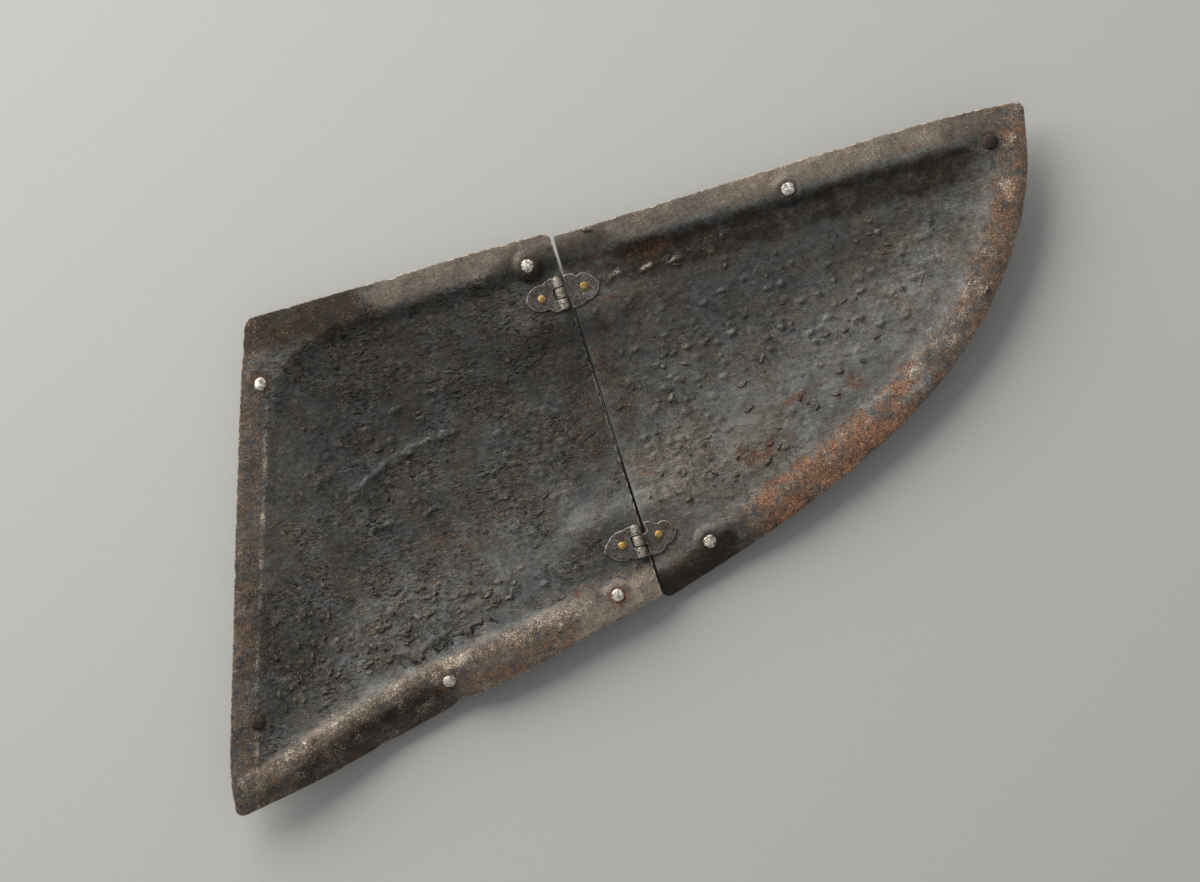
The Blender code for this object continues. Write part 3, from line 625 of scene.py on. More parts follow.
# Soft ovals on each plate: x, y, half length, half width, turn in degrees, strength
patches = {
    "flaky": {
        "broad": ((-188, -70, 92, 27, 9, 1.0), (-226, -38, 26, 18, 20, 0.6), (-112, -62, 30, 14, 10, 0.8),
                  (-140, 24, 40, 11, 12, 0.5), (-128, -16, 20, 11, 0, 0.4), (-45, 92, 24, 6, 0, 0.4),
                  (-70, -10, 30, 40, 0, 0.25), (-170, 60, 60, 30, 0, 0.25)),
        "pointed": ((35, 107, 24, 6, 0, 0.8), (78, 107, 30, 6, 0, 0.8), (40, 30, 40, 66, 0, 0.40),
                    (92, -26, 60, 18, 20, 0.45), (150, 72, 80, 28, 0, 0.35), (165, 25, 40, 30, 20, 0.3),
                    (30, -38, 34, 16, 0, 0.6)),
    },
    "blistered": {
        "broad": ((-60, 10, 40, 60, 0, 0.45), (-150, 60, 50, 20, 0, 0.5), (-80, -60, 50, 20, 0, 0.4)),
        "pointed": ((38, 20, 36, 78, 0, 1.0), (105, 50, 60, 52, 0, 0.85), (180, 45, 60, 45, 20, 0.7)),
    },
    "rusty": {
        "broad": ((-128, -16, 20, 10, 0, 0.5), (-100, -34, 44, 20, 10, 0.36), (-26, 15, 24, 60, 0, 0.32),
                  (-240, -30, 30, 12, 70, 0.35), (-60, -78, 26, 9, 8, 0.35)),
        "pointed": ((75, -30, 13, 15, 20, 0.9), (95, -26, 17, 9, 28, 0.95), (157, -20, 26, 13, 27, 0.95),
                    (116, -2, 28, 4, 12, 0.8), (2, 58, 6, 20, 0, 0.5),
                    (120, 40, 60, 30, 0, 0.30), (30, 90, 30, 14, 0, 0.40), (150, -4, 24, 8, 25, 0.6),
                    (52, 117, 18, 8, 0, 0.85)),
    },
    "brown": {
        "broad": ((-18, 30, 16, 74, 0, 0.45), (-120, -20, 60, 34, 5, 0.30), (-34, -79, 30, 8, 8, 0.5),
                  (-250, 20, 20, 60, 15, 0.30)),
        "pointed": ((6, 40, 12, 60, 0, 0.55), (52, 116, 26, 11, 0, 0.8), (110, 100, 60, 8, 0, 0.35),
                    (240, 80, 30, 30, 40, 0.25)),
    },
    "pale": {
        "broad": ((-90, -80, 70, 12, 8, 0.5), (-200, -100, 40, 9, 12, 0.6), (-185, -66, 90, 24, 9, 0.45)),
        "pointed": ((192, -15, 15, 9, 28, 1.0), (214, 12, 32, 22, 35, 0.5), (95, -12, 50, 16, 20, 0.15),
                    (30, -52, 26, 9, 14, 0.35)),
    },
    "worn": {
        "broad": ((-216, 10, 44, 74, 12, 0.50), (-34, -80, 30, 9, 8, 0.55)),
        "pointed": ((27, 108, 6, 2.5, 8, 0.7), (47, 106.5, 6, 2.5, 8, 0.7), (65, 105.6, 5, 2.2, 8, 0.7)),
    },
    "specks": {
        "pointed": ((27, 108.5, 6, 2, 8, 0.9), (47, 107, 6, 2, 8, 0.9), (65, 106, 5, 2, 8, 0.9)),
    },
}

# Bands along the crests: crest, from and to (distance in from it), softness, from and to along x, strength
bands = {
    "rubbed": {
        "broad": (("top", -40, -2, 3, -128, 20, 0.9), ("lower", -40, -6, 3, -152, 20, 0.8),
                  ("lower", -7, 5, 4, -300, 20, 0.7), ("lower", -40, -6, 4, -330, -262, 0.6),
                  ("left", -40, -10, 6, -330, -180, 0.35)),
        "pointed": (("top", -40, -2, 3, -20, 330, 0.9), ("lower", -40, 2, 4, 215, 330, 0.45)),
    },
    "brown": {
        "broad": (("top", -40, 6, 5, -330, -128, 0.9), ("left", -40, 0, 7, -330, -180, 0.65),
                  ("lower", -40, 2, 5, -300, -60, 0.6)),
        "pointed": (("lower", -40, 8, 7, 52, 330, 0.7), ("top", -40, 2, 4, 250, 330, 0.4)),
    },
    # soot: partly dark scale on the flanges, partly painted shade under the top steps (the bands 2 to 18 and
    # 2 to 26 in) and on the pointed plate's turned-down lower edge
    "soot": {
        "broad": (("lower", -18, -9, 4, -262, -156, 0.75), ("top", 2, 18, 4, -330, 20, 0.12),
                  ("top", -40, 2, 5, -330, -135, 0.85)),
        "pointed": (("lower", -40, -2, 4, -20, 52, 0.85), ("lower", -40, -10, 4, 50, 200, 0.5),
                    ("top", 2, 26, 5, -20, 270, 0.62)),
    },
    "rusty": {
        "broad": (("lower", -40, -2, 4, -290, -60, 0.40), ("top", -40, 2, 4, -330, -140, 0.25)),
        "pointed": (("lower", -40, 9, 6, 66, 195, 0.85), ("lower", -40, 6, 5, 195, 330, 0.55),
                    ("top", 2, 9, 3, 10, 60, 0.6)),
    },
    "specks": {
        "broad": (("lower", -11, 4, 5, -290, -44, 0.64), ("lower", -6, 3, 3, -270, -56, 0.84),
                  ("lower", -40, -6, 3, -150, 20, 0.24),
                  ("left", -2, 2, 2, -330, -200, 0.75), ("left", -30, -3, 4, -330, -200, 0.35),
                  ("top", -40, -3, 4, -110, 20, 0.35), ("lower", -40, -6, 4, -290, -150, 0.60)),
        "pointed": (("top", -40, -4, 3, 40, 330, 0.45), ("lower", -12, 4, 5, 175, 330, 0.6),
                    ("lower", -40, 10, 5, 60, 200, 0.25)),
    },
    "worn": {                                # rubbed to a paler tone
        "broad": (("lower", -40, 3, 4, -152, 20, 0.95), ("lower", -10, 4, 4, -300, -60, 1.05),
                  ("left", -30, -2, 4, -330, -180, 0.35)),
        "pointed": (("lower", -40, 4, 6, 58, 200, 1.95), ("lower", -40, 4, 6, 200, 330, 1.15),
                    ("top", -40, -4, 4, 120, 250, 0.3)),
    },
}

# Lines torn or raised in the scale: points, half width, rise
scars = {
    "broad": ((((-175, 23), (-160, 32), (-138, 38), (-116, 42), (-103, 42)), 2.7, 1.5),
              (((-170, 18), (-152, 27), (-130, 33.5), (-104, 37)), 2.6, -0.25),
              (((-196, 36), (-192, 37.5), (-187, 38.5)), 2.6, 1.6),
              (((-170, -2), (-161, -1), (-152, -3)), 1.7, 1.3),
              (((-136, -3), (-131, -1.5), (-126, -1)), 1.7, 1.3),
              (((-112, 71.5), (-109, 72), (-106, 72)), 1.6, 1.3),
              (((-103, 72.5), (-100, 73), (-97, 73)), 1.6, 1.3),
              (((-138, 66), (-135, 67), (-131, 67.5)), 1.5, 1.2),
              (((-180, -83), (-179.5, -89), (-168, -92), (-157, -86), (-150, -89), (-142, -85), (-135, -83),
                (-130.5, -86), (-126, -80), (-118, -79), (-110, -82.5)), 0.8, -1.0),
              (((-181, -80), (-166, -87), (-155, -81), (-142, -80), (-130, -80), (-118, -75)), 2.4, 0.8)),
    "pointed": ((((84.5, 74), (92, 76), (101, 84), (109, 89)), 2.0, 0.35),
                (((86, 71.5), (94, 74), (103, 81.5), (110, 86)), 0.8, -0.35),
                (((22, 106.5), (27, 108), (31, 108.4)), 1.5, 1.2),
                (((42, 105), (47, 106.5), (51, 106.6)), 1.5, 1.2),
                (((61, 104.6), (65, 105.6), (69, 106)), 1.4, 1.1),
                (((196, 50), (205, 46.5)), 1.0, -0.6),
                (((214, 31), (222, 26)), 1.0, -0.6),
                (((203, 21), (209, 17)), 0.9, -0.5)),
}

nicks = {                                    # x, y, radius, depth of small bites out of the edges
    "broad": ((-110, 149, 2.5, 1.2), (-214.5, 129, 3.0, 1.0), (-36, 147.6, 2.0, 0.6), (-62, -109, 2.5, 0.8),
              (-205, -135.6, 3.0, 0.8), (-262, -3, 2.5, 0.7), (-180, 150.3, 2.0, 0.6)),
    "pointed": ((63, 142.5, 2.2, 0.7), (188, 141.8, 2.5, 0.8), (120, -62, 2.5, 0.8), (262, 33, 2.5, 0.7)),
}


def maskOf(kind, points, plate, distances):
    total = np.zeros(len(points))
    for x, y, halfLength, halfWidth, turn, strength in patches.get(kind, {}).get(plate, ()):
        c, s = math.cos(math.radians(turn)), math.sin(math.radians(turn))
        offset = points - (x, y)
        along = (offset[:, 0] * c + offset[:, 1] * s) / halfLength
        across = (offset[:, 1] * c - offset[:, 0] * s) / halfWidth
        total = np.maximum(total, strength * (1 - smoothStep((np.hypot(along, across) - 0.35) / 0.95)))
    for crest, low, high, soft, fromX, toX, strength in bands.get(kind, {}).get(plate, ()):
        away = distances[crest]
        level = smoothStep((away - low) / soft / 2 + 0.5) * (1 - smoothStep((away - high) / soft / 2 + 0.5))
        level *= (smoothStep((points[:, 0] - fromX + 10) / 20)
                  * (1 - smoothStep((points[:, 0] - toX + 10) / 20)))
        total = np.maximum(total, strength * level)
    return total


def ripple(points, seed, spans=(19.0, 8.3, 4.1)):    # small uneven numbers over a surface, about -1 to 1
    rng = np.random.default_rng(seed)
    total = np.zeros(len(points))
    for span, share in zip(spans, (0.5, 0.3, 0.2)):
        for _ in range(5):
            turn, start = rng.uniform(0, 2 * math.pi, 2)
            way = points @ (math.cos(turn), math.sin(turn))
            total += share / 2 * np.sin(2 * math.pi * way / (span * rng.uniform(0.7, 1.4)) + start)
    return total


def wander(count, seed, spans=(60, 17, 5)):  # a closed run of small uneven numbers, about -1 to 1
    rng = np.random.default_rng(seed)
    turns = np.arange(count) / count * 2 * math.pi
    total = np.zeros(count)
    for span, share in zip(spans, (0.5, 0.35, 0.25)):
        for k in range(1, 5):
            waves = max(1, round(count / span / k))
            total += share / 2 * np.sin(turns * waves + rng.uniform(0, 2 * math.pi)) * rng.uniform(0.5, 1)
    return total


def plateOutline(plate):
    sides = [smoothLine(edge, 2.0) for edge in edges[plate]]
    bottom, top = sorted((edges[plate][0][0][1], edges[plate][-1][-1][1]))
    y = np.linspace(bottom, top, 130)
    share = (y - plates["seamOpensAt"]) / (plates["seamTop"] - plates["seamOpensAt"])
    opening = (plates["seamGapTop"] - plates["seamGap"]) / 2 * np.clip(share, 0, None)
    seam = np.stack([plates["seamX"] + sideOf[plate] * (plates["seamGap"] / 2 + opening), y], 1)
    sides = [seam] + sides if plate == "broad" else [seam[::-1]] + sides
    loop = evenLoop(roundedLoop(sides, corners[plate]), 1.25)
    if loopArea(loop) < 0:
        loop = loop[::-1]
    inward = inwardOf(loop)
    free = smoothStep((np.abs(loop[:, 0] - plates["seamX"]) - 2) / 6)    # the seam stays straight
    depth = plates["edgeWear"] * (0.5 + 0.5 * wander(len(loop), plates["seed"])) * (0.25 + 0.75 * free)
    for x, y, radius, bite in nicks[plate]:
        depth += bite * np.exp(-(np.hypot(loop[:, 0] - x, loop[:, 1] - y) / radius)**2)
    return loop + inward * depth[:, None]


calm = {                                     # the scale dies away at the edges, hinges, rivets and crest
    "edge": 0.6, "edgeBlend": 3.0,
    "atHinges": 0.12, "hingeBlend": 5.0,
    "atRivets": 0.1, "rivet": 5.2, "rivetBlend": 3.0,
    "crest": (2, 4, 14, 5),                  # from, its softness, to, its softness
    "crestLoss": 0.75,
    "crestStart": -215.0, "crestStartBlend": 30.0,    # on the broad plate only
    "border": -2.0, "borderBlend": 16.0, "borderLoss": 0.75,
    "everywhere": 0.06,                      # the least share of scale on the upper face
    "haloReach": 4.0, "haloBlend": 6.0, "haloRust": 0.7,
}
seamForm = {
    "reach": 3.5,
    "lipNearer": 0.8,                        # the broad plate's lip gets the pale edge line as if this much nearer its edge: edge wear and a painted highlight along the seam
    "otherFurther": 4.0,
    "burrFrom": 0.3, "burrDrop": 0.8, "burrReach": 0.7, "burrBlend": 8.0,
    # how near the seam, and how far down the rim, the walls get painted shade
    "wallReach": 2.0, "wallFrom": {"broad": 0.3, "pointed": 0.0},
}
holeRadius = {"lining": 2.4, "hinge": 2.0, "leaf": 1.9}
toneOf = {"broad": 0.89, "pointed": 1.38}
coarseOf = {"broad": 1.0, "pointed": 0.4}


def makePlate(plate):
    rivets = [(x, y) for onPlate, x, y, _ in liningRivets.values() if onPlate == plate]
    holes = [(x, y, holeRadius["lining"]) for x, y in rivets]
    for hinge in hinges["places"].values():
        holes.append((hinges["pinX"] + sideOf[plate] * hinge[plate], hinge["y"], holeRadius["hinge"]))

    def scarDepths(points):
        sideways = [ripple(points, seed, (9.0, 3.6, 1.9)) for seed in (1, 2)]
        ragged = points + np.stack(sideways, 1) * 1.6
        broken = np.clip(0.75 + 0.8 * ripple(points, 3), 0, 1.2)
        for line, halfWidth, rise in scars[plate]:
            away = sideDistance(ragged, smoothLine(line, 2.0)) / halfWidth
            share = 0.5 + 0.5 * broken if rise > 0.9 else broken    # high ones never break off whole
            yield rise * np.exp(-away**2) * share

    def upperFace(points):
        return plateHeight(points, plate) + sum(scarDepths(points))

    name = plate + "Plate"
    mesh, points, drops, fromEdge = sheetBody(name, plateOutline(plate), holes, upperFace, plates)
    top, left, lower = crestDistances(points)
    upper = drops < 0.4
    quiet = smoothStep((fromEdge - calm["edge"]) / calm["edgeBlend"])
    away = smoothStep(hingeDistance(points) / calm["hingeBlend"])
    quiet *= calm["atHinges"] + (1 - calm["atHinges"]) * away
    fromRivets = [np.hypot(points[:, 0] - x, points[:, 1] - y) for x, y, radius in holes]
    for away in fromRivets:
        away = smoothStep((away - calm["rivet"]) / calm["rivetBlend"])
        quiet *= calm["atRivets"] + (1 - calm["atRivets"]) * away
    low, lowBlend, high, highBlend = calm["crest"]
    band = smoothStep((lower - low) / lowBlend) * (1 - smoothStep((lower - high) / highBlend))
    if plate == "broad":
        band *= smoothStep((points[:, 0] - calm["crestStart"]) / calm["crestStartBlend"])
    quiet *= 1 - calm["crestLoss"] * band
    storeFloat(mesh, "quiet", quiet)
    inward = np.minimum(np.minimum(top, left), lower) - calm["border"]
    border = 1 - calm["borderLoss"] * (1 - smoothStep(inward / calm["borderBlend"]))
    distances = {"top": top, "left": left, "lower": lower}
    haloes = np.zeros(len(points))
    for away in fromRivets[:-2]:             # not round the hinges' own
        away = smoothStep((away - calm["haloReach"]) / calm["haloBlend"])
        haloes = np.maximum(haloes, calm["haloRust"] * (1 - away))
    for kind in ("flaky", "blistered", "rusty", "brown", "pale", "rubbed", "soot", "specks", "worn"):
        values = maskOf(kind, points, plate, distances)
        if kind in ("rusty", "brown"):
            values = np.maximum(values, haloes)
        values *= upper
        if kind in ("flaky", "blistered"):
            values = (values + calm["everywhere"] * upper) * border
        storeFloat(mesh, kind, values)
    storeFloat(mesh, "underside", 1.0 - upper)
    fromSeam = np.abs(points[:, 0] - plates["seamX"])
    atSeam = fromSeam < seamForm["reach"]
    # the broad plate's lip along the seam gets a paler edge line: edge wear and painted highlight
    lip = atSeam & (plate == "broad")
    storeFloat(mesh, "lip", lip)
    rubbedFrom = np.where(lip, fromEdge * seamForm["lipNearer"], fromEdge + seamForm["otherFurther"] * atSeam)
    storeFloat(mesh, "fromEdge", rubbedFrom)
    storeFloat(mesh, "coarse", np.full(len(points), coarseOf[plate]))
    # dark in the scars' troughs: partly cracks in the scale, partly painted shade in the creases beside
    # raised lines
    storeFloat(mesh, "torn", np.clip(-sum(np.clip(depth, -1, 0) for depth in scarDepths(points)), 0, 1))
    low, deep = seamForm["burrFrom"], seamForm["burrDrop"]
    burr = plates["seamBurr"] * atSeam * np.clip(drops - low, 0, deep) / deep
    burr *= fromEdge < seamForm["burrReach"]
    burr *= 1 - smoothStep((points[:, 1] - plates["seamOpensAt"]) / seamForm["burrBlend"] + 1)
    places = placesOf(mesh)
    places[:, 0] -= burr * mm * sideOf[plate]
    mesh.vertices.foreach_set("co", places.ravel())
    # the seam's walls are painted near black: painted shade in the gap between the plates
    seamWall = (fromSeam < seamForm["wallReach"]) & (drops > seamForm["wallFrom"][plate])
    seamWall &= points[:, 1] < plates["seamOpensAt"]
    storeFloat(mesh, "seamWall", seamWall)
    storeFloat(mesh, "tone", np.full(len(points), toneOf[plate]))
    return newObject(name, mesh)


# Corrosion raised on the plates: flakes, blisters, scabs and grain pushed out along the surface
def scaleReliefTree():
    inputs = [("Float", name, value) for name, value in surface.items()] + [("Float", "shift", 0.0)]
    tree, w, given = startTree("scaleRelief", inputs)
    stored = {name: w.stored(name) for name in ("quiet", "flaky", "blistered", "underside")}
    place = w.vector("ADD", w.position(), w.xyz(given["shift"], stored["underside"] * 700.0))
    warp = w.vector("SUBTRACT", w.noise(place, 4.5, 2.0, output=1), (0.5, 0.5, 0.5))
    per = {kind: 1.0 / given[kind + "Size"] for kind in ("flake", "blister", "scab", "grain", "dent")}

    def lumps(kind, mask):                   # cells of which a share stands up, some higher than others
        shape = lumpShapes[kind]
        warped = w.vector("ADD", place, w.scaled(warp, shape["warp"]))
        lump = w.cells(w.streaked(warped, shape["drawnOut"]), per[kind])
        chance = w.parts(lump["Color"])
        height = w.span(lump["Distance"], *shape["slope"]) * w.span(chance[0], *shape["chance"])
        height = height * w.span(chance[1], 0.0, 1.0, shape["lowest"], 1.0)
        return height * (given[kind + "Height"] * stored[mask])

    flakes, blisters = lumps("flake", "flaky"), lumps("blister", "blistered")
    scabs = w.span(w.noise(place, per["scab"], 4.0, 0.62), 0.50, 0.60)
    scabs = scabs * (given["scabHeight"] * (stored["flaky"] * 0.8 + 0.1))
    grain = (w.noise(place, per["grain"], 3.0, 0.6) - 0.5) * (given["grainHeight"] * 2.6)
    dents = (w.noise(place, per["dent"], 2.0, 0.45) - 0.5) * (given["dentHeight"] * 2.0)
    rise = w.most(flakes, blisters) + (scabs + grain)
    top = (rise + dents) * stored["quiet"]
    low = ((rise + dents) * 0.5 - 0.1) * stored["quiet"]
    mixed = w.put("ShaderNodeMix", {0: stored["underside"], 2: top, 3: low}, data_type="FLOAT")[0]
    offset = w.scaled(w.put("GeometryNodeInputNormal")[0], mixed * mm)
    standing = flakes + scabs + blisters * 0.12
    kept = w.keep(given["Geometry"], "rise", standing)
    moved = w.put("GeometryNodeSetPosition", {"Geometry": kept, "Offset": offset})
    endTree(w, w.put("GeometryNodeRealizeInstances", {0: moved[0]})[0], given["finish"])
    return tree


# Loose scales and blisters lying on the plates, both from one tree
looseScales = {
    "flakes": {
        "spacing": 2.2,            # least distance between two of them
        "crowding": 0.34,          # most to a square millimetre
        "length": 2.5, "width": 1.35, "thickness": 1.15,
        "crown": 0.6,              # 1 is a dome, less is flatter on top
        "tilt": 12.0,
        "ragged": 3.3, "raggedSize": 1.9,
        "rowSize": 8.0,
        "rowTurn": 10.0,           # the rows rise by this much to the right
        "mask": "flaky",
        "seed": 7,
    },
    "blisters": {
        "spacing": 4.0,
        "crowding": 0.006,
        "length": 2.3, "width": 1.7, "thickness": 0.65,
        "crown": 0.9,
        "tilt": 2.0,
        "ragged": 2.6, "raggedSize": 2.2,
        "rowSize": 20.0,
        "rowTurn": 10.0,
        "mask": "blistered",
        "seed": 31,
    },
}


looseForm = {
    "coverPower": 1.5,
    "calmSpan": (0.5, 0.9),                  # none where the surface is calmer than this
    "rowDrawnOut": 0.42,
    "rows": (0.026, 0.01, 0.015, 1.0),       # how near to the middle of the noise a row lies
    "smallest": (0.35, 0.5, 0.5), "largest": (1.6, 1.6, 1.5),
    "turn": 0.55,
    "flatRagged": (1.0, 1.0, 0.45),
}


def looseScalesTree():
    kinds = {float: "Float", str: "String", int: "Int"}
    inputs = [(kinds[type(value)], name, value) for name, value in looseScales["flakes"].items()]
    tree, w, given = startTree("looseScales", inputs)
    cover, quiet = w.stored(given["mask"]), w.stored("quiet")
    angle = given["rowTurn"] * (-math.pi / 180)
    turned = w.put("ShaderNodeVectorRotate", {"Vector": w.position(), "Angle": angle},
                   rotation_type="Z_AXIS")[0]
    cloud = w.noise(w.streaked(turned, looseForm["rowDrawnOut"]), 1.0 / given["rowSize"], 2.0, 0.5)
    rows = w.span(abs(cloud - 0.5), *looseForm["rows"])
    share = cover ** looseForm["coverPower"] * rows * w.span(quiet, *looseForm["calmSpan"])
    inputs = {"Mesh": given["Geometry"], "Distance Min": given["spacing"] * mm,
              "Density Max": given["crowding"] * 1000000.0, "Density Factor": share, "Seed": given["seed"]}
    spread = w.put("GeometryNodeDistributePointsOnFaces", inputs, distribute_method="POISSON")
    ball = w.put("GeometryNodeMeshUVSphere", {"Segments": 10, "Rings": 6, "Radius": 1.0})
    onBall = w.parts(w.put("GeometryNodeInputPosition")[0])
    high = abs(onBall[2]) ** given["crown"] * w.math("SIGN", onBall[2])
    shaped = w.scaled(w.xyz(onBall[0], onBall[1], high), mm)
    # painted shade round the foot of each loose scale, darkest at its underside
    low = w.span(onBall[2], 0.5, 0.05) * w.span(given["crown"], 0.5, 1.0, 1.0, 0.35)
    blank = w.put("GeometryNodeSetPosition", {"Geometry": w.keep(ball[0], "foot", low), "Position": shaped})

    def scatter(low, high, shift):
        inputs = {0: low, 1: high, "Seed": given["seed"] + float(shift)}
        return w.put("FunctionNodeRandomValue", inputs, data_type="FLOAT_VECTOR")[0]

    size = w.xyz(given["length"], given["width"], given["thickness"])
    size = w.vector("MULTIPLY", size, scatter(looseForm["smallest"], looseForm["largest"], 1))
    lean = given["tilt"] * (math.pi / 180)
    most = w.xyz(lean, lean, looseForm["turn"])
    turn = w.vector("MULTIPLY", scatter((-1.0, -1.0, -1.0), (1.0, 1.0, 1.0), 2), most)
    local = w.put("FunctionNodeEulerToRotation", {0: turn})[0]
    aligned = w.put("FunctionNodeRotateRotation", {0: spread["Rotation"], 1: local}, rotation_space="LOCAL")
    placed = w.put("GeometryNodeInstanceOnPoints", {"Points": spread[0], "Instance": blank[0],
                                                    "Rotation": aligned[0], "Scale": size})
    real = w.put("GeometryNodeRealizeInstances", {0: placed[0]})
    ragged = w.noise(w.position(), 1.0 / given["raggedSize"], 2.0, output=1)
    ragged = w.vector("MULTIPLY", w.vector("SUBTRACT", ragged, (0.5, 0.5, 0.5)), looseForm["flatRagged"])
    ragged = w.scaled(ragged, given["ragged"] * mm)
    worn = w.put("GeometryNodeSetPosition", {"Geometry": real[0], "Offset": ragged})
    endTree(w, w.keep(worn[0], "rise", 0.5), given["finish"])
    return tree


# Hinge leaves: runs of distance out from the pin and offset along it, from one cusp to the next
leaves = {
    "upper_broad_leaf": (((0.6, 10.7), (3.5, 10.8), (6.5, 10.6), (8.4, 9.8), (9.5, 8.4)),
                         ((9.5, 8.4), (11.2, 8.9), (13.4, 8.9), (16.5, 8.2), (19.5, 6.3), (21.4, 3.9),
                          (22.3, 2.0), (23.4, 0.7)),
                         ((23.4, 0.7), (22.2, -0.8), (21.4, -3.0), (19.4, -5.6), (16.4, -7.4), (13.0, -8.0),
                          (10.6, -7.9), (9.5, -7.6)),
                         ((9.5, -7.6), (8.6, -9.3), (6.6, -10.6), (3.5, -11.0), (0.6, -10.9)),
                         ((0.6, -3.85), (4.45, -3.85)), ((4.45, 3.85), (0.6, 3.85))),
    "upper_pointed_leaf": (((4.7, 10.3), (7.0, 10.6), (9.5, 10.3), (11.4, 9.5), (12.8, 7.7)),
                           ((12.8, 7.7), (14.5, 8.6), (17.0, 8.7), (19.5, 7.6), (22.0, 5.4), (23.8, 2.9),
                            (25.0, 0.8), (26.2, -1.2)),
                           ((26.2, -1.2), (24.9, -2.4), (24.1, -4.6), (22.2, -7.0), (19.4, -8.7),
                            (16.8, -9.3),
                            (14.4, -9.2)),
                           ((14.4, -9.2), (13.6, -10.2), (11.2, -11.0), (8.0, -11.3), (4.7, -11.2)),
                           ((4.7, -3.5), (-0.6, -3.5)), ((-0.6, 3.5), (4.7, 3.5))),
    "lower_broad_leaf": (((0.6, 10.3), (3.5, 10.3), (6.3, 10.1)),
                         ((6.6, 9.6), (10.9, 9.4), (13.5, 8.9), (15.5, 8.1), (17.2, 6.5), (19.5, 4.4),
                          (21.5, 2.2), (23.2, -1.0)),
                         ((23.2, -1.0), (21.8, -2.8), (20.4, -4.4), (18.1, -6.6)),
                         ((18.1, -6.6), (16.5, -8.4), (13.8, -9.4), (11.0, -9.8), (9.0, -9.8), (7.7, -9.2)),
                         ((7.7, -9.2), (6.6, -10.1), (3.5, -10.5), (0.6, -10.6)),
                         ((0.6, -3.85), (4.45, -3.85)), ((4.45, 3.85), (0.6, 3.85))),
    "lower_pointed_leaf": (((6.3, 10.4), (8.5, 10.5), (10.8, 9.9), (13.0, 8.6), (14.6, 7.0)),
                           ((14.6, 7.0), (16.0, 7.8), (18.5, 8.0), (21.6, 6.9), (23.1, 5.0), (23.6, 2.6)),
                           ((23.6, 2.6), (25.2, 1.7), (26.2, 0.8)),
                           ((26.2, 0.8), (24.7, -0.8), (23.9, -3.2), (22.4, -5.2), (20.6, -6.4), (18.0, -7.2),
                            (16.3, -7.4)),
                           ((16.3, -7.4), (15.4, -9.3), (13.6, -10.7), (11.2, -11.2), (7.5, -11.2),
                            (4.9, -10.9)),
                           ((4.9, -3.5), (-0.6, -3.5)), ((-0.6, 3.5), (5.6, 3.5)), ((7.5, 4.8), (7.2, 6.5))),
}

leafForm = {
    "sheet": hinges["leafSheet"],
    "spacing": 0.62,
    "underSpacing": 1.4,
    "rim": ((0.30, 0), (0.09, 0.09), (0, 0.32), (0, 0.88), (0.09, 1.11), (0.30, 1.2)),
    "outlineStep": 0.40,
    "uneven": 0.10,
    "edgeWear": 0.12,
    "knuckleSides": 40,
    "seed": 11,
}


def knuckle(name, low, high):                # a rolled knuckle: a short tube with rounded ends
    outer, bore, ease = hinges["barrel"], hinges["bore"], 0.35
    profile = [(low + ease, outer), ((low + high) / 2 - 1, outer - 0.03),
               ((low + high) / 2 + 1, outer - 0.02),
               (high - ease, outer), (high - ease * 0.3, outer - ease * 0.3), (high, outer - ease),
               (high, bore + 0.15), (high - 0.15, bore), (low + 0.15, bore), (low, bore + 0.15),
               (low, outer - ease), (low + ease * 0.3, outer - ease * 0.3)]
    sides = leafForm["knuckleSides"]
    vertices, faces = [], []
    for k in range(sides):
        turn = 2 * math.pi * (k + 0.5) / sides
        for y, radius in profile:
            uneven = 1 + 0.012 * math.sin(3 * turn + low) * (radius > bore + 0.5)
            vertices.append((radius * uneven * math.cos(turn), y, radius * uneven * math.sin(turn)))
    for k in range(sides):
        for j in range(len(profile)):
            a, b = k * len(profile), (k + 1) % sides * len(profile)
            nextJ = (j + 1) % len(profile)
            faces.append((a + j, a + nextJ, b + nextJ, b + j))
    mesh = bpy.data.meshes.new(name)
    mesh.from_pydata([tuple(c * mm for c in v) for v in vertices], [], faces)
    bm = bmesh.new()
    bm.from_mesh(mesh)
    bmesh.ops.recalc_face_normals(bm, faces=bm.faces)
    bm.to_mesh(mesh)
    bm.free()
    return newObject(name, mesh)


